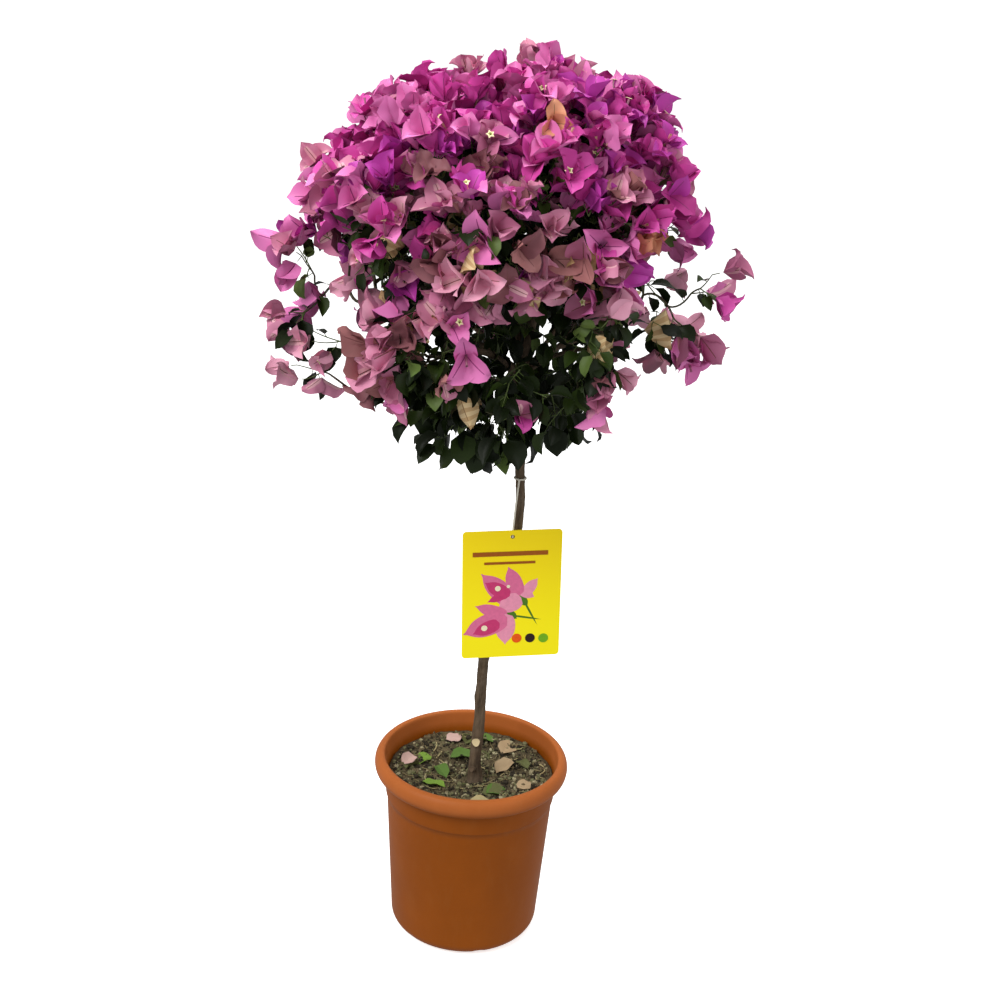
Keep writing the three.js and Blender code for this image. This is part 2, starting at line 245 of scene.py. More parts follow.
def bend(start, middle, end, steps):
    """A curve from start to end, drawn towards the middle point."""
    share = np.linspace(0, 1, steps)[:, None]
    return (1 - share) ** 2 * start + 2 * share * (1 - share) * middle + share ** 2 * end


def smooth_line(knots, steps):
    """A smooth curve through all the knots."""
    knots = np.asarray(knots, dtype=float)
    spans = np.concatenate([[0], np.cumsum(np.linalg.norm(np.diff(knots, axis=0), axis=1))])
    slopes = np.gradient(knots, spans, axis=0)
    where = np.linspace(0, spans[-1], steps)
    index = np.clip(np.searchsorted(spans, where) - 1, 0, len(knots) - 2)
    length = (spans[index + 1] - spans[index])[:, None]
    t = (where - spans[index])[:, None] / length
    blend = 3 * t ** 2 - 2 * t ** 3
    leave, arrive = t ** 3 - 2 * t ** 2 + t, t ** 3 - t ** 2
    return (knots[index] * (1 - blend) + knots[index + 1] * blend
            + slopes[index] * length * leave + slopes[index + 1] * length * arrive)


# ---------------------------------------------------------------- how the head grows

FORK_HEIGHT = 0.633
STEM_STEPS = 360
STEM_LINE = [(5, 173), (4, 197), (6, 238), (6, 282), (8, 326), (19.4, 390), (31.6, 449),
             (35.3, 493), (33, 538), (30, 593), (29, 633), (28, 645)]  # x and height of the stem, mm
# A stray shoot that leaves the stem just under the fork, places in mm
LOW_SHOOT = [(-18, 0, 590), (-61, 0, 589), (-101, 0, 595), (-137, 0, 607), (-160, 0, 622)]
LOW_SHOOT_START = 0.597
LOW_SHOOT_RADII = (1.8 * MM, 1.0 * MM)
# Boughs: how far under the fork the first one starts and how much higher each next one, the steps of each
# one's line, and how many of them it keeps when many sprays hang on it and when few do
FIRST_BOUGH, NEXT_BOUGH = 0.022, 0.0042
BOUGH_STEPS, BUSY_STEPS, QUIET_STEPS, BUSY_LOAD = 40, 26, 32, 40
BOUGH_SIDES, TWIG_STEPS, TWIG_SIDES = 14, 7, 5
# Openings strewn through the two loose side rims, where the sky shows: how many, and their ranges in mm
SKY = {"count": 16, "reach": (120, 205), "height": (600, 770), "radius": (9, 17)}
STEM = smooth_line([(x * MM, 0, z * MM) for x, z in STEM_LINE], STEM_STEPS)


def stem_at(height):
    return STEM[np.argmin(np.abs(STEM[:, 2] - height))].copy()


def middle_of(node):
    low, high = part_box(node)
    return np.array((low + high) / 2)


def mass_names():
    return sorted(name for name, slot in SLOTS.items() if slot in ("bracts", "leaves"))


def tree_of(*nodes):
    """One search tree of the faces of several nodes."""
    points, faces = [], []
    for node in nodes:
        mesh = NODES[node].data
        faces += [[len(points) + i for i in face.vertices] for face in mesh.polygons]
        points += [vertex.co.copy() for vertex in mesh.vertices]
    return BVHTree.FromPolygons(points, faces)


def surface_samples(node, count, rng):
    """Evenly spread points on a mass's surface, with the surface's direction there."""
    mesh = NODES[node].data
    mesh.calc_loop_triangles()
    corners = np.array([[mesh.vertices[i].co for i in t.vertices] for t in mesh.loop_triangles])
    crossed = np.cross(corners[:, 1] - corners[:, 0], corners[:, 2] - corners[:, 0])
    area = np.linalg.norm(crossed, axis=1)
    chosen = rng.choice(len(corners), count, p=area / area.sum())
    first, second = np.sqrt(rng.random(count)), rng.random(count)
    weights = np.stack([1 - first, first * (1 - second), first * second], axis=1)
    return (corners[chosen] * weights[:, :, None]).sum(axis=1), unit(crossed[chosen])


FAR = 9.0  # metres, farther away than any end


def spaced(ends, gap):
    """Takes the ends in order, leaving out any that stands nearer than the gap to one taken before."""
    taken = []
    places = np.full((len(ends), 3), FAR)
    for end in ends:
        if np.min(np.sum((places[:len(taken) + 1] - end.place) ** 2, axis=1)) > gap ** 2:
            places[len(taken)] = end.place
            taken.append(end)
    return taken


HEART = np.array([0.0, 0.0, 0.725])
# Clusters that stand out: direction from the stem in degrees (270 is the front), height in mm and family
STANDOUTS = [(290, 890, "scorched"), (280, 625, "warm"), (265, 805, "dried")]
# The family of the clusters at the side shoots' tips, how far they are drawn in and how far they spread
SHOOT_ENDS = {"spray_left": "pale", "spray_right": "bright"}
DRAWN_IN, TIP_SPREAD, TIP_COUNT = 0.016, 0.010, 3
SAMPLES = 900  # places tried on each mass
FLOWER_LAYER = (0.027, 0.052)  # how deep under the head's outline flowering sprays sit
LEAF_LAYER = (0.045, 0.150)  # and leafy sprays in the flowering masses
SKIRT_LAYER = (0.004, 0.200)  # and leafy sprays in the leafy masses


def depth_under(head, point, outward):
    """How far a point lies inside the head's outline, along the line out from the head's heart."""
    hit = head.ray_cast(Vector(HEART + outward * 0.5), Vector(-outward))[0]
    return np.dot(np.array(hit) - point, outward) if hit else 0


def sky_windows(rng):
    """The openings in the side rims, right and left in turn: x, height and radius."""
    side = np.where(np.arange(SKY["count"]) % 2 == 0, 1, -1)
    spans = [rng.uniform(*SKY[name], SKY["count"]) * MM for name in ("reach", "height", "radius")]
    return list(zip(side * spans[0], spans[1], spans[2]))


def in_window(point, windows, margin=0.009):
    return any(math.hypot(point[0] - x, point[2] - z) < radius + margin for x, z, radius in windows)


def standout_ends(head, rng):
    """The ends of the clusters that stand out: under the head's outline, and at the side shoots' tips."""
    ends = []
    for azimuth, height, family in STANDOUTS:
        outward = np.array([math.cos(math.radians(azimuth)), math.sin(math.radians(azimuth)), 0])
        hit = head.ray_cast(Vector(outward * 0.5 + UP * height * MM), Vector(-outward))[0]
        place = np.array(hit) - outward * FLOWER_LAYER[0]
        mass = min(mass_names(), key=lambda name: np.linalg.norm(middle_of(name) - place))
        ends.append(SimpleNamespace(place=place, facing=outward, mass=mass, blooms=True, family=family))
    for mass, family in SHOOT_ENDS.items():
        tip = middle_of(mass) - DRAWN_IN * unit(middle_of(mass) - HEART)
        for place in tip + rng.uniform(-TIP_SPREAD, TIP_SPREAD, (TIP_COUNT, 3)):
            facing = unit(place - HEART)
            ends.append(SimpleNamespace(place=place, facing=facing, mass=mass, blooms=True, family=family))
    return ends


def core_share(point, top=0.80):
    """1 in the leafy core under the crown, falling to 0 towards the rims and the given top."""
    across = np.interp(abs(point[0] - 0.02), [0.04, 0.12], [1, 0])
    return across * np.interp(point[2], [top - 0.1, top], [1, 0])


def rim_share(point):
    """1 in the two loose side rims, falling to 0 towards the middle and the crown."""
    return np.interp(abs(point[0]), [0.10, 0.15], [0, 1]) * np.interp(point[2], [0.72, 0.80], [1, 0])


def bloom_share(point, slope):
    """The share of outer sprays that flower: all on top, fewer below and in the core, few facing down."""
    share = np.interp(point[2], [0.60, 0.64, 0.70, 0.78], [0.45, 0.78, 0.92, 1.0])
    return share * (1 - 0.88 * core_share(point)) * np.interp(slope, [-0.75, -0.2], [0.4, 1.0])


def head_key(context):
    """What the head's growth hangs on: its seed and its two spacings."""
    head = context.scene.bougainvillea_head
    return head.seed, head.bract_gap, head.leaf_gap


@lru_cache(maxsize=1)
def spray_places(seed, bract_gap, leaf_gap):
    """The end of every twig, with the way it faces, its mass, and whether it flowers or is only leafy."""
    rng = np.random.default_rng(seed)
    head = tree_of(*mass_names())
    windows = sky_windows(rng)
    marked = standout_ends(head, rng)
    others, leafy = [], []
    for name in mass_names():
        points, facing = surface_samples(name, SAMPLES, rng)
        points = points - facing * rng.uniform(-0.06 if name == "core" else 0, 0.045, (len(points), 1))
        for point, normal in zip(points, facing):
            if in_window(point, windows):
                continue
            outward = unit(point - HEART)
            depth = depth_under(head, point, outward)
            way = unit(outward * 0.8 + normal * 0.45)
            end = SimpleNamespace(
                place=point, facing=way, mass=name, blooms=SLOTS[name] == "bracts", family=None)
            if end.blooms and FLOWER_LAYER[0] < depth < FLOWER_LAYER[1]:
                end.blooms = rng.random() < bloom_share(point, way[2])
                stray = min(rng.exponential(0.008), 0.02) - 0.011
                end.place = point + way * stray * np.interp(point[2], [0.76, 0.82], [0, 1])
                if end.blooms or rng.random() < 0.2 + 0.6 * core_share(point):
                    others.append(end)
                continue
            low, high = LEAF_LAYER if end.blooms else SKIRT_LAYER
            if low < depth < high and rng.random() < 1.25 - 9 * abs(point[0] - 0.01):
                end.blooms = False
                leafy.append(end)
    flowering = spaced(marked + [others[i] for i in rng.permutation(len(others))], bract_gap)
    flowering = [end for end in flowering if end.family or rng.random() > 0.32 * rim_share(end.place)]
    return flowering + spaced([leafy[i] for i in rng.permutation(len(leafy))], leaf_gap)


@lru_cache(maxsize=1)
def growth(seed, bract_gap, leaf_gap):
    """Boughs from the fork, and twigs that divide until one ends at each spray."""
    rng = np.random.default_rng(seed + 1)
    ends = spray_places(seed, bract_gap, leaf_gap)
    boughs, twigs = [], []
    targets = [name[len("bough_to_"):] for name in sorted(NODES) if name.startswith("bough_to_")]
    hearts = np.array([middle_of(target) for target in targets])
    owners = {name: int(np.argmin(np.linalg.norm(hearts - middle_of(name), axis=1))) for name in mass_names()}
    owners["spray_left"] = len(targets)
    low_shoot = smooth_line([stem_at(LOW_SHOOT_START), *(np.array(knot) * MM for knot in LOW_SHOOT)], 36)
    boughs.append((low_shoot, *LOW_SHOOT_RADII))
    low_ends = [end for end in ends if owners[end.mass] == len(targets)]
    divide(low_shoot[-1], low_shoot[-1] - low_shoot[-2], low_ends, LOW_SHOOT_RADII[1], twigs, rng)
    fork = stem_at(FORK_HEIGHT)
    for index, target in enumerate(targets):
        start = stem_at(FORK_HEIGHT - FIRST_BOUGH + NEXT_BOUGH * index)
        knee = fork + (hearts[index] - fork) * 0.4
        knee[2] = fork[2] + 0.34 * np.linalg.norm(hearts[index] - fork)
        mine = [end for end in ends if owners[end.mass] == index]
        line = bend(start, knee, hearts[index], BOUGH_STEPS)
        stop = BUSY_STEPS if len(mine) > BUSY_LOAD else QUIET_STEPS
        thick = twig_radius(len(mine))
        boughs.append((line[:stop], thick * 1.12, thick))
        divide(line[stop - 1], line[stop - 1] - line[stop - 2], mine, thick, twigs, rng)
    return boughs, twigs


def twig_radius(load):
    """A limb's thickness from the number of sprays that it carries."""
    return 0.00072 * load ** 0.31


def divide(start, heading, ends, thick, twigs, rng):
    """Grows one twig towards its ends and splits them between two more, until a twig carries one end."""
    heading = unit(heading)
    places = np.array([end.place for end in ends])
    if len(ends) == 1:
        reach = np.linalg.norm(places[0] - start)
        leave = start + (heading * 0.55 + 0.10 * rng.normal(size=3)) * reach * 0.6
        arrive = places[0] - ends[0].facing * reach * 0.15
        middle = leave * 0.6 + arrive * 0.4 - UP * reach * rng.uniform(-0.02, 0.12)
        line = bend(start, middle, places[0], TWIG_STEPS)
        twigs.append(SimpleNamespace(line=line, thick=(thick, 0.0005), load=1, end=ends[0]))
        return
    centre = places.mean(axis=0)
    reach = np.linalg.norm(centre - start)
    share = rng.uniform(0.34, 0.58)
    leave = start + heading * reach * share * 0.5
    split = start + (centre - start) * share + rng.normal(size=3) * reach * 0.07
    line = bend(start, leave, split, TWIG_STEPS)
    spread = places - centre
    axis = np.linalg.svd(spread, full_matrices=False)[2][0]
    side = spread @ axis > np.median(spread @ axis) + rng.normal() * 0.004
    if side.all() or not side.any():
        side = np.arange(len(ends)) % 2 == 0
    thin = twig_radius(len(ends)) * 0.96
    twigs.append(SimpleNamespace(line=line, thick=(thick, thin), load=len(ends), end=None))
    for group in (side, ~side):
        chosen = [end for end, mine in zip(ends, group) if mine]
        target = np.array([end.place for end in chosen]).mean(axis=0)
        onward = unit(split - leave) * 0.6 + unit(target - split) * 0.7
        divide(split, onward, chosen, twig_radius(len(chosen)), twigs, rng)


# ---------------------------------------------------------------- blades: bracts and leaves

def blade_points(place, along, face, form, rows, columns):
    """Grids of points for many blades: along is the way each grows, and face the side that curls in."""
    count = len(place)
    u = np.linspace(0, 1, rows)
    v = np.asarray(columns)
    pick = lambda value: np.broadcast_to(np.asarray(value, dtype=float), (count,))[:, None]
    length, width = pick(form["length"]), pick(form["width"])
    angle = pick(form["bend"]) * u ** 1.2 + pick(form["tip_bend"]) * np.clip((u - 0.7) / 0.3, 0, 1) ** 2
    step = np.concatenate([[0], np.diff(u)])
    run = np.cumsum(np.cos(angle) * step, axis=1) * length
    drop = np.cumsum(np.sin(angle) * step, axis=1) * length
    half = 0.5 * width * np.maximum(outline(u, form["point"]), 0.02)
    across = unit(np.cross(along, face))
    centre = place[:, None] + along[:, None] * run[..., None] - face[:, None] * drop[..., None]
    square = face[:, None] * np.cos(angle)[..., None] + along[:, None] * np.sin(angle)[..., None]
    edge = np.abs(v)
    fold = pick(form["fold"])[..., None]
    lift = edge * half[..., None] * np.sin(fold) + pick(form["cup"])[..., None] * edge ** 2 * half[..., None]
    phase = pick(form["phase"])[..., None]
    lap = 2 * math.pi * pick(form["waves"])[..., None] * u[:, None]
    swell = np.sin(lap + phase + np.sign(v) * (1.1 + phase)) * edge ** 1.5
    lift = lift + pick(form["wave"])[..., None] * swell * np.minimum(half[..., None] / 0.006, 1)
    chevron = np.cos(2 * math.pi * form["veins"] * (u[:, None] - 0.28 * edge)) * np.sin(math.pi * edge)
    lift = lift + pick(form["vein_depth"])[..., None] * chevron
    sideways = v * half[..., None] * np.cos(fold)
    slant = form["slant"] * length[..., None] * np.sin(math.pi * u)[:, None] * edge
    onward = along[:, None] * np.cos(angle)[..., None] - face[:, None] * np.sin(angle)[..., None]
    points = centre[:, :, None] + onward[:, :, None] * slant[..., None]
    return points + across[:, None, None] * sideways[..., None] + square[:, :, None] * lift[..., None]


def outline(u, point):
    """Half the width of an egg-shaped blade along its length, drawn out to a tip."""
    return np.sin(math.pi * np.clip(u, 0, 1) ** 0.74) ** (0.42 + point * u ** 5)


def around_axis(axis, turn):
    """Unit vectors square to each axis, at the given turn round it."""
    helper = np.where(np.abs(axis[:, 2:]) > 0.9, [[1.0, 0.0, 0.0]], [[0.0, 0.0, 1.0]])
    side = unit(np.cross(axis, helper))
    other = np.cross(axis, side)
    return side * np.cos(turn)[:, None] + other * np.sin(turn)[:, None]


def turn_towards(axis, way):
    """The turn round an axis that faces the given way."""
    side, other = (around_axis(axis[None], np.array([turn]))[0] for turn in (0.0, math.pi / 2))
    return math.atan2(np.dot(way, other), np.dot(way, side))


NEXT_TURN = 2.4  # radians round a twig from one shoot to the next
THIRD_TURN = 2.094  # and from one bract of a cluster to the next
PHASES = (0, 6.28)  # of the waves along a blade's edges
BRACT_COLUMNS = (-1, -0.64, -0.3, -0.04, 0.04, 0.3, 0.64, 1)
BRACT_ROWS = 9
RIB_COLUMN = 3
LEAF_COLUMNS = (-1, -0.5, 0, 0.5, 1)
LEAF_ROWS = 6


@lru_cache(maxsize=1)
def clusters(seed, bract_gap, leaf_gap):
    """The three-bract clusters of every flowering spray: place, axis, opening and tone."""
    rng = np.random.default_rng(seed + 2)
    _, twigs = growth(seed, bract_gap, leaf_gap)
    found = []
    for twig in twigs:
        if twig.end is None or not twig.end.blooms:
            continue
        end = twig.end
        onward = unit(twig.line[-1] - twig.line[-2])
        high = np.clip((end.place[2] - 0.725) / 0.12, 0, 1)
        family = end.family or spray_family(high, core_share(end.place, 0.86), rng)
        count = 1 if end.family or rng.random() < 0.75 - 0.65 * high else 2
        turn = rng.uniform(0, 2 * math.pi)
        for k in range(count):
            side = around_axis(onward[None], np.array([turn + k * NEXT_TURN]))[0]
            stray = 0.35 if end.family else 0.65
            rise = 0 if end.family else high * 1.3 - 0.4
            axis = unit(onward * 0.2 + end.facing * 0.8 + side * stray + UP * rise + rng.normal(size=3) * 0.2)
            cluster = SimpleNamespace(
                root=twig.line[-1], axis=axis, family=family, bracts=3, open=rng.normal(0.46, 0.2),
                size=rng.uniform(0.78, 1.14) * (0.85 if end.family else 1 - 0.14 * high),
                turn=rng.uniform(0, 2 * math.pi))
            if family == "dried":
                cluster.axis = unit(side * 0.5 - UP + end.facing * 0.25)
                cluster.bracts = int(rng.integers(1, 3))
                cluster.turn = turn_towards(cluster.axis, end.facing)
                cluster.open = 0.25
            cluster.place = cluster.root + cluster.axis * rng.uniform(0.006, 0.016)
            found.append(cluster)
    return found


# Each family is a run of close tones: bright ones on top, duller ones below, dried ones here and there.
TONES = {
    "violet": ("b83ea4", 0.5), "magenta": ("ca48a0", 0.5), "deep": ("aa2e7e", 0.5),
    "orchid": ("dc7ab8", 0.5), "mauve": ("b86c8e", 0.55), "rose": ("cc84a2", 0.55),
    "dusk": ("86525a", 0.6), "blush": ("e0a0b8", 0.55), "brick": ("a87070", 0.65),
    "straw": ("dcc294", 0.7), "tan": ("b8936a", 0.7), "salmon": ("d49474", 0.65),
}
FAMILIES = {
    "bright": ("violet", "magenta", "magenta", "deep", "orchid", "orchid"),
    "warm": ("magenta", "orchid", "mauve", "rose"),
    "faded": ("mauve", "rose", "rose", "orchid"),
    "old": ("dusk", "mauve", "brick", "rose"),
    "pale": ("blush", "rose", "blush"),
    "dried": ("straw", "straw", "tan"),
    "scorched": ("salmon", "salmon", "tan"),
}
TONE_NAMES = list(TONES)
RIBS = len(TONES)  # the finishes after the tones: three ribs, then these two
DRY_VEIN, PALE_HEART = RIBS + 3, RIBS + 4
PALE_HEARTED = ("mauve", "rose", "blush")  # tones of bracts that may be paler along their midrib


def spray_family(high, core, rng):
    """The family of a spray's colours, from how high it stands and how deep in the leafy core."""
    roll = rng.random()
    if roll < 0.02 - 0.015 * high + 0.15 * core:
        return "dried"
    if rng.random() < 0.55 * core:
        return "old"
    if roll > 0.994:
        return "scorched"
    if roll < 0.06 + 0.84 * high:
        return "bright"
    if roll < 0.22 + 0.74 * high:
        return "warm"
    if roll < 0.50 + 0.46 * high:
        return "faded"
    return "old" if roll < 0.66 else "pale"


def bract_parts(found, length, seed):
    """Points, faces and material marks of the bracts of the given clusters."""
    rng = np.random.default_rng(seed + 3)
    owner = np.repeat(np.arange(len(found)), [c.bracts for c in found])
    third = np.concatenate([np.arange(c.bracts) for c in found])
    of_cluster = lambda values: np.array(values)[owner]
    axis = of_cluster([c.axis for c in found])
    place = of_cluster([c.place for c in found])
    count = len(axis)
    turn = of_cluster([c.turn for c in found]) + third * THIRD_TURN + rng.normal(0, 0.14, count)
    opening = of_cluster([c.open for c in found]) + rng.normal(0, 0.16, count)
    outward = around_axis(axis, turn)
    along = unit(axis * np.cos(opening)[:, None] + outward * np.sin(opening)[:, None])
    face = unit(axis * np.sin(opening)[:, None] - outward * np.cos(opening)[:, None])
    dried = of_cluster([c.family in ("dried", "scorched", "old") for c in found])
    papery = of_cluster([c.family == "dried" for c in found])
    size = of_cluster([c.size for c in found]) * rng.uniform(0.92, 1.08, count)
    size = size * np.where(papery, 1.15, 1) * length
    form = {
        "length": size,
        "width": size * rng.uniform(0.66, 0.84, count),
        "point": 1.05,
        "slant": 0.06,
        "bend": np.where(papery, -0.9, rng.normal(0.38, 0.35, count)),
        "tip_bend": rng.normal(0.45, 0.45, count),
        "fold": rng.normal(0.26, 0.12, count),
        "cup": np.where(papery, 0.9, rng.normal(0.38, 0.22, count)),
        "wave": np.where(dried, 0.0030, 0.0017) * rng.uniform(0.5, 1.4, count),
        "waves": rng.uniform(1.0, 2.2, count),
        "phase": rng.uniform(*PHASES, count),
        "veins": 5.0,
        "vein_depth": np.where(papery, 0.0014, np.where(dried, 0.0008, 0.0004)),
    }
    points, faces = many_grids(blade_points(place, along, face, form, BRACT_ROWS, BRACT_COLUMNS))
    tones = of_cluster([TONE_NAMES.index(rng.choice(FAMILIES[c.family])) for c in found])
    for i in np.flatnonzero(rng.random(count) < 0.22):
        tones[i] = TONE_NAMES.index(rng.choice(FAMILIES[found[owner[i]].family]))
    marks = np.repeat(tones, (BRACT_ROWS - 1) * (len(BRACT_COLUMNS) - 1)).reshape(count, BRACT_ROWS - 1, -1)
    marks[papery, 1::2] = DRY_VEIN
    hearted = np.isin(tones, [TONE_NAMES.index(name) for name in PALE_HEARTED]) & (rng.random(count) < 0.55)
    marks[hearted, :BRACT_ROWS - 3, 2:5] = PALE_HEART
    marks[:, :BRACT_ROWS - 3, RIB_COLUMN] = RIBS + np.digitize(tones, [4, 9])[:, None]
    return points, faces, marks.reshape(-1)


# ---------------------------------------------------------------- properties

def length_value(name, description, default):
    return bpy.props.FloatProperty(name=name, description=description, default=default, unit="LENGTH")


def angle_value(name, description, degrees):
    return bpy.props.FloatProperty(
        name=name, description=description, default=math.radians(degrees), unit="ROTATION")


def colour_value(name, description, code):
    return bpy.props.FloatVectorProperty(
        name=name, description=description, default=tone(code), subtype="COLOR", size=3)


def count_value(name, description, default):
    return bpy.props.IntProperty(name=name, description=description, default=default, min=0)


class PotProperties(bpy.types.PropertyGroup):
    wall: length_value("Wall", "Thickness of the pot's wall", 2.2 * MM)
    rim_width: length_value("Rim width", "Width of the rim's oval section", 15 * MM)
    rim_height: length_value("Rim height", "Height of the rim's oval section", 21 * MM)
    clay: colour_value("Plastic", "Main colour of the pot", "924a0a")
    # The next colour is a painted highlight: the rim painted paler where the top light falls on it.
    faded: colour_value("Faded rim", "Colour of the sun-faded rim", "ae602c")
    soil_dark: colour_value("Moist soil", "Dark colour of the soil", "40382a")
    soil_light: colour_value("Dry soil", "Light colour of the soil", "8c7f5c")
    crumbs: count_value("Crumbs", "How many crumbs lie on the soil", 2300)
    straws: count_value("Straws", "How many dry stalks lie on the soil", 110)


class WoodProperties(bpy.types.PropertyGroup):
    foot: length_value("Foot radius", "Radius of the stem above its flare", 6.2 * MM)
    top: length_value("Top radius", "Radius of the stem at its fork", 4.2 * MM)
    bark_dark: colour_value("Bark furrows", "Dark colour of the bark", "30261c")
    bark_light: colour_value("Bark ridges", "Light colour of the bark", "786550")


class HeadProperties(bpy.types.PropertyGroup):
    seed: count_value("Seed", "Another seed grows another head", 11)
    bract_gap: length_value("Bract spacing", "Least distance between flowering sprays", 17.2 * MM)
    leaf_gap: length_value("Leaf spacing", "Least distance between leafy sprays", 30 * MM)
    bract_length: length_value("Bract length", "Length of a full-grown bract", 32 * MM)
    leaf_length: length_value("Leaf length", "Length of a full-grown leaf", 30 * MM)


class LabelProperties(bpy.types.PropertyGroup):
    card: colour_value("Card", "Colour of the label", "fff00a")
    card_top: colour_value("Card top", "Colour of the label's top", "f8dc06")
    string: colour_value("String", "Colour of the string", "e6e0d0")


class StageProperties(bpy.types.PropertyGroup):
    distance: length_value("Camera distance", "How far the camera stands from the stem", 1.45)
    height: length_value("Camera height", "Height of the camera", 1.038)
    tip: angle_value("Camera tip", "How far the camera looks down", 20.33)
    roll: angle_value("Camera roll", "How far the camera is rolled", 3.38)
    lens: bpy.props.FloatProperty(name="Lens", description="Focal length in millimetres", default=54.5)


# ---------------------------------------------------------------- pot and soil

def revolve(profile, sides):
    """Points and quads of a solid of revolution, from (radius, height) pairs from axis to axis."""
    profile = np.asarray(profile, dtype=float)
    turn = np.linspace(0, 2 * math.pi, sides, endpoint=False)
    radius, height = profile[:, 0, None], profile[:, 1, None]
    points = np.stack(np.broadcast_arrays(radius * np.cos(turn), radius * np.sin(turn), height), axis=-1)
    return points.reshape(-1, 3), grid_faces(len(profile), sides, closed=True)


def arc(centre, half_width, half_height, turns, steps):
    """(radius, height) pairs along part of an oval, between two turns in degrees."""
    turn = np.radians(np.linspace(*turns, steps))
    return [(centre[0] + half_width * math.cos(t), centre[1] + half_height * math.sin(t)) for t in turn]


def pot_profile(wall, rim_width, rim_height):
    """The pot's section in metres, from the middle of the underside round to the middle of the floor."""
    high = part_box("pot")[1]
    rim, top = high[0], high[2]
    collar, body, edge = 93.7 * MM, 81.3 * MM, 14 * MM
    step, proud, lift = 159.5 * MM, 1.3 * MM, 3 * MM
    under = top - rim_height
    inner = lambda z: body + (collar - body) * (z - edge) / (under - edge) - wall - proud
    foot = inner(step) + wall + proud
    lower = lambda z: body + (foot - proud - body) * (z - edge) / (step - edge)
    floor = lift + wall
    hub = (rim - rim_width / 2, top - rim_height / 2)
    return [
        (0.2 * MM, 0), (24 * MM, 0), (25.5 * MM, 1 * MM), (27 * MM, lift),
        (57 * MM, lift), (59 * MM, 1 * MM), (60 * MM, 0),
        *arc((body - edge, edge), edge, edge, (-90, 0), 16),
        *[(lower(z), z) for z in np.linspace(edge, step, 24)[1:]],
        (foot - proud * 0.3, step + 0.5 * MM), (foot, step + 1.2 * MM),
        *[(foot + (collar - foot) * t, step + (under - 1 * MM - step) * t) for t in np.linspace(0.08, 1, 6)],
        (collar + 0.5 * MM, under - 0.4 * MM), (hub[0] - 1 * MM, under - 0.3 * MM),
        (hub[0] + 1.4 * MM, under - 0.4 * MM), (hub[0] + 1.9 * MM, under + 0.2 * MM),
        *arc(hub, rim_width / 2, rim_height / 2, (-72, 108), 30),
        (hub[0] - 3.1 * MM, top - 1.4 * MM), (hub[0] - 3.6 * MM, top - 3.4 * MM),
        (hub[0] - 4.2 * MM, top - 7 * MM), (inner(under) + 0.6 * MM, under + 2.5 * MM),
        (inner(under), under - 1 * MM),
        *[(inner(z), z) for z in np.linspace(under - 4 * MM, edge + floor, 12)],
        (inner(edge + floor) - edge, floor), (0.2 * MM, floor),
    ]


def drain_notches(points):
    """Lifts the foot ring across six drain notches."""
    turn = np.arctan2(points[:, 1], points[:, 0])
    near = np.abs((turn - math.radians(45) + math.pi / 6) % (math.pi / 3) - math.pi / 6)
    radius = np.hypot(points[:, 0], points[:, 1])
    share = np.clip(1.6 - near * radius / (4 * MM), 0, 1) * np.clip((radius - 54 * MM) / (4 * MM), 0, 1)
    low = np.clip(1 - points[:, 2] / (6 * MM), 0, 1)
    points[:, 2] += 2.4 * MM * share * low * (points[:, 2] < 6 * MM)
    return points


def cut_drain_holes(pot):
    holes, ring, radius = 6, 42 * MM, 6 * MM
    cutters = bmesh.new()
    for k in range(holes):
        turn = math.radians(360 / holes * k)
        place = Matrix.Translation((ring * math.cos(turn), ring * math.sin(turn), 4 * MM))
        bmesh.ops.create_cone(cutters, cap_ends=True, segments=32, radius1=radius, radius2=radius,
                              depth=20 * MM, matrix=place)
    mesh = bpy.data.meshes.new("drain_cutters")
    cutters.to_mesh(mesh)
    cutters.free()
    tool = bpy.data.objects.new("drain_cutters", mesh)
    bpy.context.scene.collection.objects.link(tool)
    cut = pot.modifiers.new("Drain holes", "BOOLEAN")
    cut.object = tool
    cut.solver = "EXACT"
    with bpy.context.temp_override(object=pot, active_object=pot):
        bpy.ops.object.modifier_apply(modifier=cut.name)
    bpy.data.objects.remove(tool)


def plastic_finish(clay, faded):
    """Thin moulded plastic, its rim painted paler as a painted highlight where the top light falls, with
    faint dusty streaks.
    """
    finish = Finish("terracotta_plastic", roughness=0.5, specular=0.12)
    body = finish.ramp(finish.noise(9, 5), [(0.35, np.array(clay) * 0.9), (0.7, np.array(clay) * 1.08)])
    # The rim's colour is a painted highlight, paler than the body where the top light falls on it.
    rim = finish.ramp(finish.noise(14, 5), [(0.35, np.array(faded) * 0.92), (0.7, np.array(faded) * 1.06)])
    # Heights where the body gives way to the painted highlight on the rim.
    under, top = 186.5 * MM, 194 * MM
    shell_with_painted_highlight = finish.mix(finish.height_share(under, top), body, rim)
    dusty = finish.ramp(finish.noise(60, 8, 0.7, (1, 1, 0.3)), [(0.5, (0, 0, 0)), (0.85, (0.1, 0.1, 0.1))])
    dust = finish.ramp(finish.noise(20, 3), [(0.3, tone("a87444")), (0.7, tone("b8854f"))])
    finish.colour(finish.mix(dusty, shell_with_painted_highlight, dust))
    finish.roughness(finish.noise(34, 5), 0.4, 0.58)
    finish.relief(finish.noise(650, 3), 0.00012, 0.7)
    return finish.material


def soil_finish(dark, light):
    finish = Finish("moist_compost", roughness=0.92, specular=0.2)
    shades = [(0.36, dark), (0.56, np.array(dark) * 1.7), (0.74, light)]
    grains = finish.ramp(finish.noise(240, 8, 0.75), shades)
    damp = finish.ramp(finish.noise(22, 4), [(0.35, np.array(dark) * 0.55), (0.7, np.array(light) * 0.8)])
    patch = finish.ramp(finish.noise(14, 3), [(0.4, (0.15, 0.15, 0.15)), (0.65, (0.6, 0.6, 0.6))])
    finish.colour(finish.mix(patch, grains, damp))
    finish.relief(finish.noise(520, 6, 0.7), 0.0012)
    return finish.material


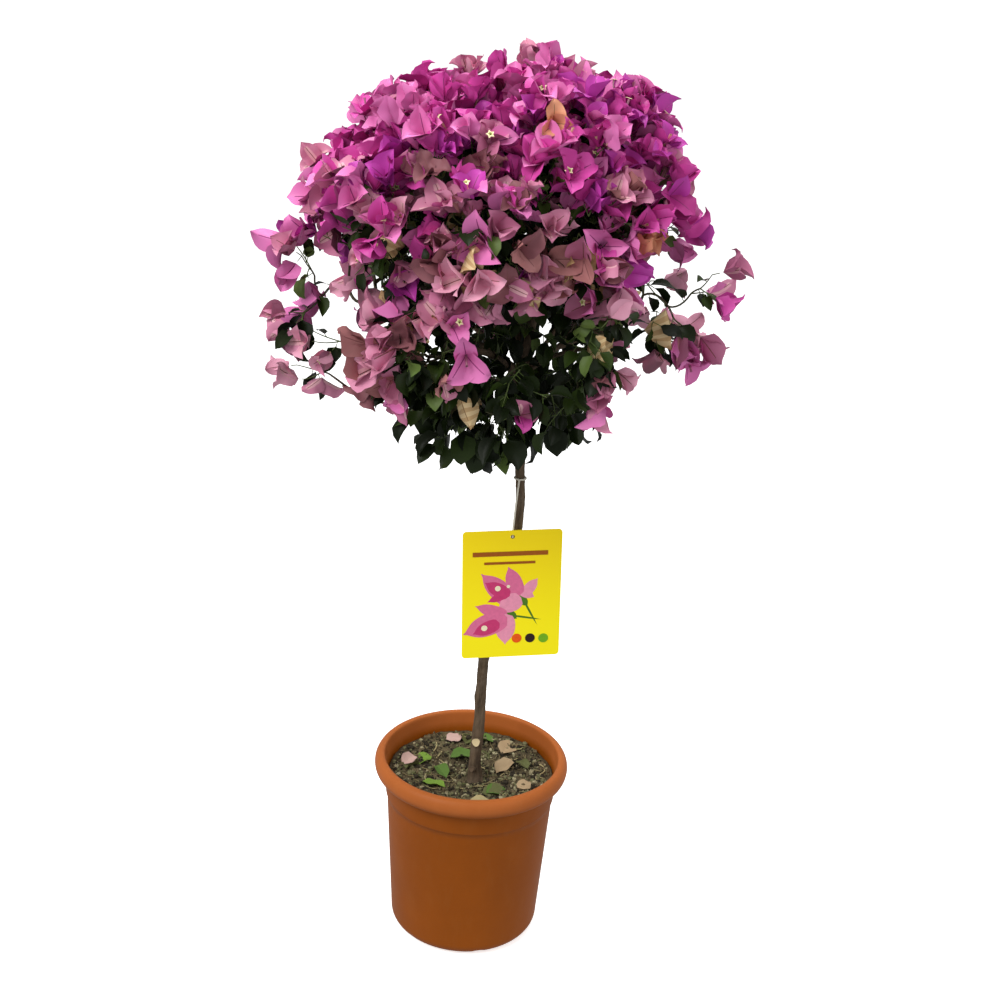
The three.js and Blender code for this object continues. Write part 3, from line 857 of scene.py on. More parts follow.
SOIL_LEVEL = 0.180  # where the search finds no surface
ROUGHNESS = 1.6 * MM
CRUMB_SIZE, LEAST_CRUMB, LARGEST_CRUMB = 1.35 * MM, 0.6 * MM, 3.6 * MM


def soil_height(x, y, tree):
    hit = tree.ray_cast(Vector((x, y, 0.5)), Vector((0, 0, -1)))[0]
    level = hit.z if hit else SOIL_LEVEL
    fine = noise.fractal(Vector((x, y, 0.3)) * 70, 0.9, 2.0, 5)
    return level + fine * ROUGHNESS


def soil_points(tree):
    """A crumbly top out to the wall, then down the side and across the bottom."""
    low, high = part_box("soil")
    wall = high[0] - 0.0006
    rings = [(0.0003 + (wall - 0.0003) * (k / 60), None) for k in range(61)]
    rings += [(wall * share, high[2] * level) for share, level in ((0.985, 0.8), (0.93, 0.4), (0.87, 0.12))]
    rings += [(wall * 0.8, low[2] + 0.0002), (0.0003, low[2] + 0.0002)]
    sides = 160
    points = []
    for radius, level in rings:
        for k in range(sides):
            turn = 2 * math.pi * k / sides
            x, y = radius * math.cos(turn), radius * math.sin(turn)
            points.append((x, y, soil_height(x, y, tree) if level is None else level))
    return np.array(points), grid_faces(len(rings), sides, closed=True)[:, ::-1]


def crumb_shapes(count, tree, rng):
    """Small uneven lumps pressed into the soil, as squashed eight-sided balls."""
    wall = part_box("soil")[1][0] - 0.004
    turn = rng.uniform(0, 2 * math.pi, count)
    reach = wall * np.sqrt(rng.uniform(0.01, 1, count))
    x, y = reach * np.cos(turn), reach * np.sin(turn)
    size = rng.lognormal(math.log(CRUMB_SIZE), 0.42, count).clip(LEAST_CRUMB, LARGEST_CRUMB)
    z = np.array([soil_height(a, b, tree) for a, b in zip(x, y)]) + size * 0.25
    rows = np.radians([-80, -28, 28, 80])
    spin = np.linspace(0, 2 * math.pi, 6, endpoint=False)
    level, lift = np.cos(rows)[:, None], np.sin(rows)[:, None]
    ball = np.stack(np.broadcast_arrays(level * np.cos(spin), level * np.sin(spin), lift), axis=-1)
    shapes = ball[None] * size[:, None, None, None] * rng.uniform(0.7, 1.35, (count, 4, 6, 1))
    shapes = shapes * rng.uniform(0.6, 1.3, (count, 1, 1, 3))
    return many_grids(shapes + np.stack([x, y, z], axis=1)[:, None, None], closed=True)


LITTER_TONES = {"fresh": "6a8a2c", "green": "4e6c26", "olive": "565a30", "pink": "c0a096", "tan": "a8906e",
                "straw": "a89a6e", "stalk": "7c6f4c"}
# Fallen leaves and bracts on the soil: x, y, heading in degrees, length in mm and tone
FALLEN = [
    (-44, 26, 200, 27, "fresh"), (-24, 34, 10, 30, "green"), (-38, 12, 300, 24, "green"),
    (-26, -34, 170, 27, "fresh"), (-64, 22, 240, 22, "pink"), (33, 42, 60, 32, "tan"),
    (44, 30, 230, 26, "tan"), (18, -38, 20, 26, "green"), (36, -30, 200, 24, "olive"),
    (24, 62, 160, 28, "green"), (-8, 58, 80, 22, "olive"), (62, 8, 120, 22, "olive"),
    (-70, -6, 60, 20, "olive"), (2, -60, 340, 24, "straw"), (-30, 60, 30, 20, "pink"),
    (58, -36, 90, 22, "tan"),
]


def fallen_blades(tree, rng):
    """Leaves and bracts lying on the soil, each a little curled and tilted."""
    count = len(FALLEN)
    heading = np.radians([blade[2] for blade in FALLEN])
    length = np.array([blade[3] for blade in FALLEN]) * MM
    along = np.stack([np.cos(heading), np.sin(heading), rng.uniform(-0.05, 0.15, count)], axis=1)
    place = np.array([(x * MM, y * MM, soil_height(x * MM, y * MM, tree) + 3.5 * MM) for x, y, *_ in FALLEN])
    up = UP + rng.normal(0, 0.22, (count, 3))
    face = unit(up - along * np.sum(up * along, axis=1)[:, None])
    form = {
        "length": length, "width": length * 0.72, "point": 0.95, "slant": 0.08,
        "bend": rng.normal(0.25, 0.2, count), "tip_bend": rng.normal(0.2, 0.3, count),
        "fold": rng.normal(0.3, 0.15, count), "cup": rng.normal(0.1, 0.15, count),
        "wave": 0.0012, "waves": 1.6, "phase": rng.uniform(*PHASES, count),
        "veins": 4.0, "vein_depth": 0.0003,
    }
    points, faces = many_grids(blade_points(place, unit(along), face, form, BRACT_ROWS, BRACT_COLUMNS))
    names = list(LITTER_TONES)
    return points, faces, np.repeat([names.index(blade[4]) for blade in FALLEN], len(faces) // count)


def straw_bits(count, tree, rng):
    """Short dry stalks, some curled, strewn over the soil."""
    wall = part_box("soil")[1][0] - 0.012
    turn, reach = rng.uniform(0, 2 * math.pi, count), wall * np.sqrt(rng.uniform(0.03, 1, count))
    middle = np.stack([reach * np.cos(turn), reach * np.sin(turn)], axis=1)
    heading = rng.uniform(0, 2 * math.pi, count)
    way = np.stack([np.cos(heading), np.sin(heading)], axis=1)
    half = rng.uniform(3, 10, count)[:, None] * MM
    curl = rng.normal(0, 0.45, count)[:, None] * half * np.stack([-way[:, 1], way[:, 0]], axis=1)
    flat = np.stack([middle + way * half * t + curl * (1 - t * t) for t in np.linspace(-1, 1, 6)], axis=1)
    level = np.array([[soil_height(x, y, tree) for x, y in row] for row in flat]) + 1.6 * MM
    lines = np.concatenate([flat, level[..., None]], axis=2)
    radii = np.broadcast_to(rng.uniform(0.35, 0.8, count)[:, None] * MM, (count, 6))
    points, faces = many_grids(tubes(lines, radii, 5), closed=True)
    return points, faces, np.repeat(rng.choice([2, 5, 6, 6], count), len(faces) // count)


class BOUGAINVILLEA_OT_pot(bpy.types.Operator):
    """Turn the pot with its rolled rim, collar, foot ring, drain notches and drain holes"""
    bl_idname = "bougainvillea.pot"
    bl_label = "Pot"

    def execute(self, context):
        sizes = context.scene.bougainvillea_pot
        points, faces = revolve(pot_profile(sizes.wall, sizes.rim_width, sizes.rim_height), 180)
        # The second colour is the painted highlight on the rim.
        finish = plastic_finish(sizes.clay, sizes.faded)
        pot = add_piece("plastic_pot", drain_notches(points), faces, [finish], replaces=["pot"])
        cut_drain_holes(pot)
        return {"FINISHED"}


class BOUGAINVILLEA_OT_soil(bpy.types.Operator):
    """Fill the pot with crumbly compost"""
    bl_idname = "bougainvillea.soil"
    bl_label = "Soil"

    def execute(self, context):
        sizes = context.scene.bougainvillea_pot
        tree = tree_of("soil")
        rng = np.random.default_rng(5)
        finish = soil_finish(sizes.soil_dark, sizes.soil_light)
        points, faces = soil_points(tree)
        add_piece("compost", points, faces, [finish], replaces=["soil"])
        points, faces = crumb_shapes(sizes.crumbs, tree, rng)
        bits = plain_finishes(dark_crumb=("2e281c", 0.9), brown_crumb=("62563e", 0.9),
                              pale_crumb=("a09878", 0.9), olive_crumb=("6e6c4c", 0.9))
        marks = np.repeat(rng.choice(4, sizes.crumbs, p=[0.32, 0.3, 0.1, 0.28]), len(faces) // sizes.crumbs)
        add_piece("soil_crumbs", points, faces, bits, marks, smooth=False)
        points, faces, marks = joined([fallen_blades(tree, rng), straw_bits(sizes.straws, tree, rng)])
        litter = [plain_finish(f"litter_{name}", tone(code), 0.7) for name, code in LITTER_TONES.items()]
        add_piece("soil_litter", points, faces, litter, marks)
        return {"FINISHED"}


# ---------------------------------------------------------------- trunk, boughs and twigs

def bark_finish(dark, light):
    finish = Finish("bougainvillea_bark", roughness=0.85, specular=0.25)
    streaks = finish.noise(150, 8, 0.7, (1, 1, 0.16))
    bark = finish.ramp(streaks, [(0.34, dark), (0.52, (np.array(dark) + np.array(light)) / 2), (0.7, light)])
    blotch = finish.ramp(finish.noise(28, 4), [(0.42, (0, 0, 0)), (0.62, (0.6, 0.6, 0.6))])
    lichen = finish.ramp(finish.noise(70, 5), [(0.4, tone("4c3d2f")), (0.7, tone("857666"))])
    finish.colour(finish.mix(blotch, bark, lichen))
    finish.relief(finish.noise(330, 7, 0.7, (1, 1, 0.3)), 0.0009)
    return finish.material


# The stem's skin in mm: from one joint to the next, how far a joint swells, and the root flare
STEM_SIDES = 44
JOINT_GAP, JOINT_SWELL = 46, 0.35
FLARE_WIDTH, FLARE_HEIGHT = 3.0, 11


def stem_shape(foot, top):
    """The trunk's skin with its root flare, joints, ridges and furrows."""
    line = STEM
    share = (line[:, 2] - line[0, 2]) / (line[-1, 2] - line[0, 2])
    climbed = line[:, 2] - line[0, 2]
    radius = foot + (top - foot) * share
    turn = np.linspace(0, 2 * math.pi, STEM_SIDES, endpoint=False)
    points = np.empty((len(line), STEM_SIDES, 3))
    for i, (centre, bare) in enumerate(zip(line, radius)):
        from_joint = (climbed[i] * 1000 + 12) % JOINT_GAP - JOINT_GAP / 2
        joint = math.exp(-from_joint ** 2 / 9) * JOINT_SWELL * MM
        flare = FLARE_WIDTH * MM * math.exp(-climbed[i] / (FLARE_HEIGHT * MM))
        for k, t in enumerate(turn):
            way = Vector((math.cos(t), math.sin(t), 0))
            seat = Vector((way.x * 5, way.y * 5, climbed[i] * 55))
            ridges = noise.fractal(seat, 0.8, 2.1, 5) * 0.75 * MM
            roots = flare * (1 + 0.35 * math.cos(3 * t + 0.7))
            knob = noise.noise(Vector((way.x * 1.6, way.y * 1.6, climbed[i] * 40))) * 0.9 * MM
            out = bare + joint + roots + ridges + knob
            points[i, k] = (centre[0] + way.x * out, centre[1] + way.y * out, centre[2])
    crown = points[-1].mean(axis=0)
    for closing in (0.8, 0.45, 0.05):
        ring = crown + (points[len(line) - 1] - crown) * closing + UP * (1 - closing) * 3.5 * MM
        points = np.concatenate([points, ring[None]])
    return many_grids(points[None], closed=True)


# The cut side shoots: height, azimuth in degrees, radius and how far each stands out
CUT_SHOOTS = ((0.221, 262, 4.3 * MM, 2.4 * MM), (0.187, 250, 2.8 * MM, 4.6 * MM))


def cut_stub(height, azimuth, radius, reach):
    """A side shoot cut off clean: rough collar and a pale, slightly hollow face. Returns side and face."""
    turn = math.radians(azimuth)
    way = unit(np.array([math.cos(turn), math.sin(turn), 0.35]))
    root = stem_at(height)
    side = unit(np.cross(way, UP))
    other = np.cross(way, side)
    around = np.linspace(0, 2 * math.pi, 20, endpoint=False)
    circle = np.cos(around)[:, None] * side + np.sin(around)[:, None] * other
    wobble = 1 + 0.07 * np.cos(3 * around + 1)[:, None]
    tip = reach + 6.3 * MM
    rings = [(0.3, 1.25), (0.78, 1.2), (0.92, 1.1), (1, 1)]
    bark = np.array([root + way * tip * a + circle * wobble * radius * b for a, b in rings])
    wood = np.array([root + way * tip * (1 - 0.03 * d) + circle * wobble * radius * b
                     for b, d in ((1, 0), (0.86, 1), (0.5, 1.6), (0.03, 1.8))])
    return many_grids(bark[None], closed=True), many_grids(wood[None], closed=True)


class BOUGAINVILLEA_OT_wood(bpy.types.Operator):
    """Raise the trunk and the boughs with their bark"""
    bl_idname = "bougainvillea.wood"
    bl_label = "Trunk and boughs"

    def execute(self, context):
        sizes = context.scene.bougainvillea_wood
        boughs, _ = growth(*head_key(context))
        parts = [(*stem_shape(sizes.foot, sizes.top), 0)]
        for line, thick, thin in boughs:
            rough = np.random.default_rng(len(line)).normal(1, 0.05, (len(line), BOUGH_SIDES, 1))
            radii = np.linspace(thick, thin, len(line))
            centre = line[:, None]
            skin = tubes(line[None], radii[None], BOUGH_SIDES)[0]
            parts.append((*many_grids((centre + (skin - centre) * rough)[None], closed=True), 0))
        for index, stub in enumerate(CUT_SHOOTS):
            bark, face = cut_stub(*stub)
            parts += [(*bark, 0), (*face, index + 1)]
        points, faces, marks = joined(parts)
        finishes = [bark_finish(sizes.bark_dark, sizes.bark_light),
                    *plain_finishes(fresh_cut=("cdbb92", 0.8), old_cut=("5d4c3c", 0.9))]
        wood = [name for name, slot in SLOTS.items() if slot == "bark"]
        add_piece("trunk_and_boughs", points, faces, finishes, marks, replaces=wood)
        return {"FINISHED"}


class BOUGAINVILLEA_OT_twigs(bpy.types.Operator):
    """Grow the twigs that carry every spray"""
    bl_idname = "bougainvillea.twigs"
    bl_label = "Twigs"

    def execute(self, context):
        _, twigs = growth(*head_key(context))
        lines = np.array([twig.line for twig in twigs])
        radii = np.array([np.linspace(*twig.thick, len(twig.line)) for twig in twigs])
        points, faces = many_grids(tubes(lines, radii, TWIG_SIDES), closed=True)
        ages = [0 if twig.load > 5 else 1 if twig.load > 1 else 2 for twig in twigs]
        marks = np.repeat(ages, len(faces) // len(twigs))
        finishes = plain_finishes(old_twig=("4a4232", 0.8), twig=("4e4e34", 0.7), young_twig=("5b6a3c", 0.6))
        found = clusters(*head_key(context))
        roots = np.array([c.root for c in found])
        tops = np.array([c.place for c in found])
        axes = np.array([c.axis for c in found])
        share = np.linspace(0, 1, 4)[None, :, None]
        stalks = roots[:, None] * (1 - share) + (tops - axes * 0.003)[:, None] * share
        stalks[:, 1:3] -= axes[:, None] * 0.001
        thin = np.broadcast_to(np.linspace(0.00055, 0.00045, 4), (len(found), 4))
        stalk_points, stalk_faces = many_grids(tubes(stalks, thin, 4), closed=True)
        points, faces, marks = joined([(points, faces, marks), (stalk_points, stalk_faces, 2)])
        add_piece("twigs", points, faces, finishes, marks)
        return {"FINISHED"}


# ---------------------------------------------------------------- bracts, flowers and leaves

class BOUGAINVILLEA_OT_bracts(bpy.types.Operator):
    """Set the three-bract clusters on their stalks, bright above and faded below"""
    bl_idname = "bougainvillea.bracts"
    bl_label = "Bracts"

    def execute(self, context):
        head = context.scene.bougainvillea_head
        found = clusters(*head_key(context))
        finishes = [plain_finish(f"bract_{name}", tone(code), rough) for name, (code, rough) in TONES.items()]
        finishes += plain_finishes(
            bright_rib=("842c68", 0.6), faded_rib=("805050", 0.6), dry_rib=("8a6a48", 0.7),
            dry_vein=("c3a274", 0.7), pale_heart=("dcaab4", 0.6))
        heights = np.array([c.place[2] for c in found])
        cuts = np.quantile(heights, [1 / 3, 2 / 3])
        groups = np.digitize(heights, cuts)
        masses = [name for name, slot in SLOTS.items() if slot == "bracts"]
        for index, name in enumerate(("bracts_low", "bracts_middle", "bracts_high")):
            chosen = [c for c, group in zip(found, groups) if group == index]
            points, faces, marks = bract_parts(chosen, head.bract_length, head.seed + index)
            add_piece(name, points, faces, finishes, marks, replaces=masses if index == 0 else ())
        return {"FINISHED"}


def flower_parts(found, rng):
    """A slender tube on each bract's midrib, some with an open star at its mouth."""
    count = len(found)
    place = np.array([c.place for c in found])
    axis = unit(np.array([c.axis for c in found]) + rng.normal(0, 0.12, (count, 3)))
    length = rng.uniform(0.013, 0.019, count)
    share = np.linspace(0, 1, 4)
    lines = place[:, None] + axis[:, None] * (length[:, None] * share)[..., None]
    radii = np.broadcast_to(np.array([0.0009, 0.0014, 0.0010, 0.0013]), (count, 4))
    tube, tube_faces = many_grids(tubes(lines, radii, 6), closed=True)
    turn = np.linspace(0, 2 * math.pi, 10, endpoint=False)
    lobes = np.where(np.arange(10) % 2 == 0, 0.0042, 0.0024)
    rings = []
    for inward, rise in ((0.22, -0.0006), (0.55, 0.0003), (1.0, -0.0002)):
        ring = [around_axis(axis, np.full(count, t)) * r * inward for t, r in zip(turn, lobes)]
        rings.append(lines[:, -1][:, None] + np.stack(ring, axis=1) + axis[:, None] * rise)
    open_flower = rng.random(count) < 0.45
    star, star_faces = many_grids(np.stack(rings, axis=1)[open_flower], closed=True)
    inner = np.tile(np.repeat([2, 1], 10), int(open_flower.sum()))
    tints = np.repeat(np.where(rng.random(count) < 0.5, 0, 3), len(tube_faces) // count)
    return joined([(tube, tube_faces, tints), (star, star_faces, inner)])


class BOUGAINVILLEA_OT_flowers(bpy.types.Operator):
    """Put the small cream flowers between the bracts"""
    bl_idname = "bougainvillea.flowers"
    bl_label = "Flowers"

    def execute(self, context):
        head = context.scene.bougainvillea_head
        rng = np.random.default_rng(head.seed + 5)
        found = clusters(*head_key(context))
        chosen = [c for c in found if rng.random() < 0.3 and c.family not in ("dried", "old")]
        points, faces, marks = flower_parts(chosen, rng)
        finishes = plain_finishes(flower_tube=("cfa98f", 0.6), flower_star=("efe6b4", 0.6),
                                  flower_throat=("a9b25c", 0.6), bud_tube=("a8788a", 0.6))
        add_piece("flowers", points, faces, finishes, marks)
        return {"FINISHED"}


LEAF_TONES = {"dark": "111a08", "green": "1a260c", "mid": "2c3c14", "young": "566a34"}


def leaf_stations(twigs, rng):
    """Where leaves leave the twigs, and the way each one goes."""
    place, along, size = [], [], []
    for twig in twigs:
        if twig.load > 14:
            continue
        leafy = twig.end is not None and not twig.end.blooms
        high = np.clip((twig.line[-1][2] - 0.74) / 0.08, 0, 1)
        rim = abs(twig.line[-1][0]) > 0.11 and high < 0.5
        count = 6 if leafy else 1 if twig.end is None or rim or rng.random() < high else 2
        if rim and not leafy and rng.random() < 0.45:
            continue
        low = 0.2 if leafy else 0.1
        turn = rng.uniform(0, 2 * math.pi)
        for k in range(count):
            share = low + (1.0 - low) * (k + rng.random()) / count * (1 if leafy else 0.85)
            where = share * (len(twig.line) - 1)
            index = min(int(where), len(twig.line) - 2)
            point = twig.line[index] + (twig.line[index + 1] - twig.line[index]) * (where - index)
            onward = unit(twig.line[index + 1] - twig.line[index])
            side = around_axis(onward[None], np.array([turn + k * NEXT_TURN]))[0]
            place.append(point)
            droop = 0.75 if leafy else 0.35
            along.append(unit(side * 0.8 + onward * 0.4 - UP * droop + rng.normal(size=3) * 0.2))
            hanging = np.interp(point[2], [0.58, 0.66], [1.1, 0.8])
            size.append(rng.uniform(0.6, 1.1) * hanging if leafy else rng.uniform(0.45, 0.85))
    return np.array(place), np.array(along), np.array(size)


def leaf_points(place, along, size, length, rng):
    """Leaf blades on the ends of their stalks, face up as far as their direction lets them."""
    count = len(place)
    up = UP + rng.normal(0, 0.35, (count, 3))
    face = unit(up - along * np.sum(up * along, axis=1)[:, None])
    form = {
        "length": size * length, "width": size * length * rng.uniform(0.64, 0.84, count),
        "point": 1.5, "slant": 0.04,
        "bend": rng.normal(0.45, 0.3, count), "tip_bend": rng.normal(0.3, 0.25, count),
        "fold": rng.normal(0.38, 0.16, count), "cup": rng.normal(0.02, 0.12, count),
        "wave": 0.0011 * size, "waves": rng.uniform(0.8, 1.6, count), "phase": rng.uniform(*PHASES, count),
        "veins": 4.0, "vein_depth": 0.00012,
    }
    return blade_points(place, along, face, form, LEAF_ROWS, LEAF_COLUMNS)


class BOUGAINVILLEA_OT_leaves(bpy.types.Operator):
    """Hang the dark leaves on the twigs"""
    bl_idname = "bougainvillea.leaves"
    bl_label = "Leaves"

    def execute(self, context):
        head = context.scene.bougainvillea_head
        rng = np.random.default_rng(head.seed + 7)
        _, twigs = growth(*head_key(context))
        place, along, size = leaf_stations(twigs, rng)
        stalk = (size * 0.010)[:, None]
        foot = place + along * stalk
        points, faces = many_grids(leaf_points(foot, along, size, head.leaf_length, rng))
        share = np.linspace(0, 1, 3)[None, :, None]
        lines = place[:, None] * (1 - share) + foot[:, None] * share
        thin = np.full((len(place), 3), 0.00045)
        stalks, stalk_faces = many_grids(tubes(lines, thin, 3), closed=True)
        young = rng.random(len(place)) < np.interp(place[:, 2], [0.66, 0.72, 0.86], [0.04, 0.10, 0.35])
        dark = np.where(young, 3, rng.choice(3, len(place), p=[0.45, 0.33, 0.22]))
        marks = np.repeat(dark, len(faces) // len(place))
        points, faces, marks = joined([(points, faces, marks), (stalks, stalk_faces, 3)])
        finishes = [plain_finish(f"leaf_{name}", tone(code), 0.45, specular=0.16)
                    for name, code in LEAF_TONES.items()]
        masses = [name for name, slot in SLOTS.items() if slot == "leaves"]
        add_piece("leaves", points, faces, finishes, marks, replaces=masses)
        return {"FINISHED"}


# ---------------------------------------------------------------- label

LABEL_HOLE = np.array([29.7, -15.5, 467.5]) * MM
LABEL_TURN, LABEL_TIP = math.radians(9), math.radians(-2.2)  # about the vertical, and out of plumb
FACE_DEPTH = 0.45 * MM  # from the card's middle to its face
PRINT_TONES = {
    "petal": "e0709a", "light_petal": "ee98b4", "deep_petal": "cc3a72", "cream": "f6ecc8", "stem": "4c7a1e",
    "orange": "f25c0a", "dark": "2c1616", "green": "74b41a", "brown": "a0560e",
}
# The printed flower, drawn from blades: tone, foot, tip and width, in mm from the card's hole
PRINTED_BLADES = [
    ("stem", (11, -68), (28, -101), 2.2), ("stem", (0, -88), (32, -94), 2.2),
    ("stem", (8, -66), (17, -78), 9), ("stem", (-4, -84), (6, -92), 9),
    ("light_petal", (12, -66), (27, -47), 12), ("light_petal", (8, -60), (24, -68), 10),
    ("petal", (8, -66), (-4, -33), 17), ("petal", (4, -76), (-32, -40), 22),
    ("light_petal", (10, -68), (-14, -82), 20), ("deep_petal", (-2, -66), (-28, -50), 15),
    ("deep_petal", (-2, -62), (-25, -72), 9), ("petal", (-4, -88), (-38, -76), 14),
    ("light_petal", (-6, -86), (-6, -121), 21), ("petal", (-4, -90), (-50, -108), 25),
    ("deep_petal", (-12, -96), (-40, -108), 15),
]
# Discs: tone, middle and radius. Bars: tone, the two ends and width.
PRINTED_DISCS = [
    ("cream", (-14.5, -57), 3.0), ("cream", (-3.5, -55), 1.8), ("cream", (-28, -101.5), 3.2),
    ("orange", (6.3, -114.5), 5.2), ("dark", (20.4, -114.8), 5.2), ("green", (34.5, -115.5), 5.2),
]
PRINTED_BARS = [("brown", (-41, -18.4), (37, -18.4), 5.0), ("brown", (-29, -28.6), (24, -28.6), 2.8)]
LIFT, LAYER = 0.02, 0.012  # mm from the card's face to the lowest ink, and from one ink to the next


def on_card(flat, layer):
    """Points of the card's front face from places in mm round its hole, each layer a hair above the last."""
    turn = Matrix.Rotation(LABEL_TURN, 3, "Z") @ Matrix.Rotation(LABEL_TIP, 3, "Y")
    across, up, out = (np.array(turn @ Vector(way)) for way in ((1, 0, 0), (0, 0, 1), (0, -1, 0)))
    height = FACE_DEPTH + (LIFT + LAYER * layer) * MM
    return LABEL_HOLE + flat[..., :1] * MM * across + flat[..., 1:] * MM * up + out * height


def printed_blade(foot, tip, width, round_end=True):
    """A flat blade from its foot to its tip, or a plain bar."""
    foot, tip = np.array(foot, dtype=float), np.array(tip, dtype=float)
    share = np.linspace(0, 1, 15)
    half = width / 2 * (np.maximum(outline(share, 0.9), 0.02) if round_end else np.ones(15))
    side = unit(np.array([tip[1] - foot[1], foot[0] - tip[0]]))
    middle = foot + (tip - foot) * share[:, None]
    return np.stack([middle - side * half[:, None], middle, middle + side * half[:, None]], axis=1)


def printed_disc(middle, radius):
    turn = np.linspace(0, 2 * math.pi, 28, endpoint=False)
    ring = np.stack([-np.cos(turn), np.sin(turn)], axis=1)
    return np.array([np.array(middle) + ring * radius * share for share in (1, 0.5, 0.02)])


def print_parts():
    names = list(PRINT_TONES)
    shapes = [(ink, printed_blade(*blade), False) for ink, *blade in PRINTED_BLADES]
    shapes += [(ink, printed_disc(*disc), True) for ink, *disc in PRINTED_DISCS]
    shapes += [(ink, printed_blade(*bar, round_end=False), False) for ink, *bar in PRINTED_BARS]
    return joined([(*many_grids(on_card(shape, layer)[None], closed), names.index(ink))
                   for layer, (ink, shape, closed) in enumerate(shapes)])


def ink_finish(name, colour):
    """Printed ink, mottled a little as coarse printing is."""
    finish = Finish(f"ink_{name}", roughness=0.4, specular=0.25)
    finish.colour(finish.ramp(finish.noise(260, 4), [(0.35, colour * 0.88), (0.65, colour)]))
    return finish.material


class BOUGAINVILLEA_OT_label(bpy.types.Operator):
    """Finish the label and its string, and print a flower, three dots and two plain bars on it"""
    bl_idname = "bougainvillea.label"
    bl_label = "Label"

    def execute(self, context):
        sizes = context.scene.bougainvillea_label
        card = Finish("label_card", roughness=0.35, specular=0.25)
        fading = card.height_share(0.34, 0.47)
        card.colour(card.ramp(fading, [(0.2, sizes.card), (0.95, sizes.card_top)]))
        NODES["label"].data.materials.clear()
        NODES["label"].data.materials.append(card.material)
        inks = [ink_finish(name, np.array(tone(code))) for name, code in PRINT_TONES.items()]
        points, faces, marks = print_parts()
        add_piece("label_print", points, faces, inks, marks, smooth=False)
        string = Finish("string", roughness=0.8)
        shades = [(0.3, np.array(sizes.string) * 0.7), (0.7, sizes.string)]
        string.colour(string.ramp(string.noise(900, 3), shades))
        NODES["label_tie"].data.materials.clear()
        NODES["label_tie"].data.materials.append(string.material)
        return {"FINISHED"}


# ---------------------------------------------------------------- stage

FLOOR_HALF, FLOOR_LEVEL, FLOOR_GLOW = 150.0, -0.0002, 0.64
CAMERA_ASIDE = 0.0145
WORLD_LIGHT = 0.55
# The soft lights: name, place, target, power, size and colour
LIGHTS = [
    ("key_light", (-1.6, -1.4, 2.4), (0, 0, 0.6), 62, 1.5, (1, 0.985, 0.96)),
    ("fill_light", (1.9, -1.2, 1.5), (0, 0, 0.5), 12, 1.6, (1, 1, 1)),
    ("top_light", (0.2, 0.6, 2.9), (0, 0, 0.7), 46, 1.6, (1, 1, 1)),
]


def area_light(name, place, target, power, size, colour):
    light = bpy.data.lights.new(name, "AREA")
    light.energy = power
    light.size = size
    light.color = colour
    lamp = bpy.data.objects.new(name, light)
    lamp.location = place
    lamp.rotation_euler = (Vector(target) - Vector(place)).to_track_quat("-Z", "Y").to_euler()
    bpy.context.scene.collection.objects.link(lamp)


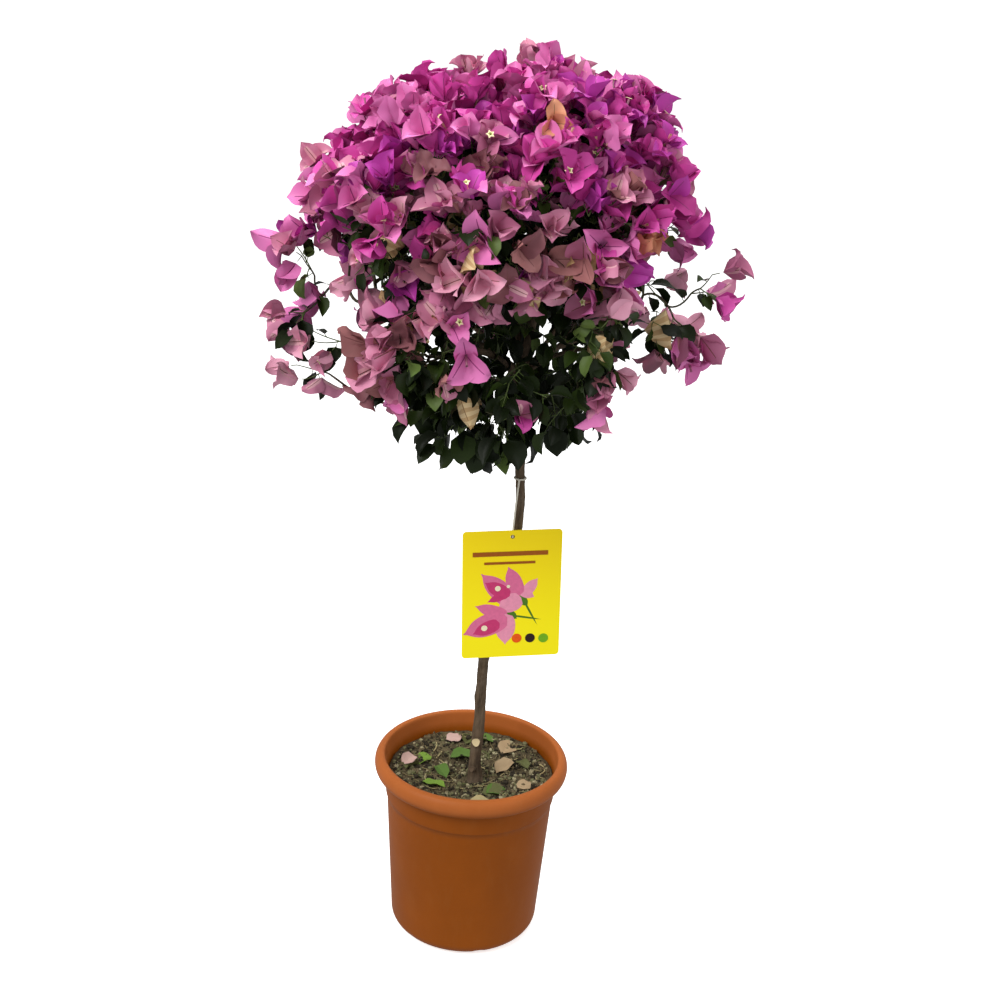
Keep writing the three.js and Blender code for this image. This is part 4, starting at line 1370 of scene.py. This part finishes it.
class BOUGAINVILLEA_OT_stage(bpy.types.Operator):
    """Lay the pale floor, hang the soft lights and set up the camera"""
    bl_idname = "bougainvillea.stage"
    bl_label = "Stage"

    def execute(self, context):
        stage = context.scene.bougainvillea_stage
        corners = [(x * FLOOR_HALF, y * FLOOR_HALF, FLOOR_LEVEL)
                   for x, y in ((-1, -1), (1, -1), (1, 1), (-1, 1))]
        mesh = bpy.data.meshes.new("floor")
        mesh.from_pydata(corners, [], [(0, 1, 2, 3)])
        paint = plain_finish("pale_floor", (0.86, 0.86, 0.86), 0.9, specular=0.1)
        shader = paint.node_tree.nodes["Principled BSDF"]
        shader.inputs["Emission Color"].default_value = (1, 1, 1, 1)
        shader.inputs["Emission Strength"].default_value = FLOOR_GLOW
        mesh.materials.append(paint)
        floor = bpy.data.objects.new("floor", mesh)
        floor.visible_diffuse = False
        floor.visible_glossy = False
        context.scene.collection.objects.link(floor)
        for light in LIGHTS:
            area_light(*light)
        world = bpy.data.worlds.new("studio")
        world.use_nodes = True
        world.node_tree.nodes["Background"].inputs["Color"].default_value = (1, 1, 1, 1)
        world.node_tree.nodes["Background"].inputs["Strength"].default_value = WORLD_LIGHT
        context.scene.world = world
        context.scene.view_settings.view_transform = "Standard"
        lens = bpy.data.cameras.new("camera")
        lens.lens = stage.lens
        camera = bpy.data.objects.new("camera", lens)
        place = Matrix.Translation((CAMERA_ASIDE, -stage.distance, stage.height))
        aim = Matrix.Rotation(math.pi / 2 - stage.tip, 4, "X") @ Matrix.Rotation(stage.roll, 4, "Z")
        camera.matrix_world = place @ aim
        context.scene.collection.objects.link(camera)
        context.scene.camera = camera
        return {"FINISHED"}


# ---------------------------------------------------------------- panel and registration

GROUPS = {
    "bougainvillea_pot": PotProperties,
    "bougainvillea_wood": WoodProperties,
    "bougainvillea_head": HeadProperties,
    "bougainvillea_label": LabelProperties,
    "bougainvillea_stage": StageProperties,
}
OPERATORS = (
    BOUGAINVILLEA_OT_stage, BOUGAINVILLEA_OT_pot, BOUGAINVILLEA_OT_soil, BOUGAINVILLEA_OT_wood,
    BOUGAINVILLEA_OT_twigs, BOUGAINVILLEA_OT_bracts, BOUGAINVILLEA_OT_flowers, BOUGAINVILLEA_OT_leaves,
    BOUGAINVILLEA_OT_label,
)


class BOUGAINVILLEA_PT_panel(bpy.types.Panel):
    bl_idname = "BOUGAINVILLEA_PT_panel"
    bl_label = "Bougainvillea"
    bl_space_type = "VIEW_3D"
    bl_region_type = "UI"
    bl_category = "Bougainvillea"

    def draw(self, context):
        for name, group in GROUPS.items():
            box = self.layout.box()
            for key in group.__annotations__:
                box.prop(getattr(context.scene, name), key)
        for operator in OPERATORS:
            self.layout.operator(operator.bl_idname)


def register():
    for group in GROUPS.values():
        bpy.utils.register_class(group)
    for operator in OPERATORS:
        bpy.utils.register_class(operator)
    bpy.utils.register_class(BOUGAINVILLEA_PT_panel)
    for name, group in GROUPS.items():
        setattr(bpy.types.Scene, name, bpy.props.PointerProperty(type=group))


def unregister():
    for name in GROUPS:
        delattr(bpy.types.Scene, name)
    bpy.utils.unregister_class(BOUGAINVILLEA_PT_panel)
    for operator in reversed(OPERATORS):
        bpy.utils.unregister_class(operator)
    for group in reversed(GROUPS.values()):
        bpy.utils.unregister_class(group)


def main():
    register()
    for operator in OPERATORS:
        getattr(bpy.ops.bougainvillea, operator.bl_idname.split(".")[1])()


if __name__ == "__main__":
    main()
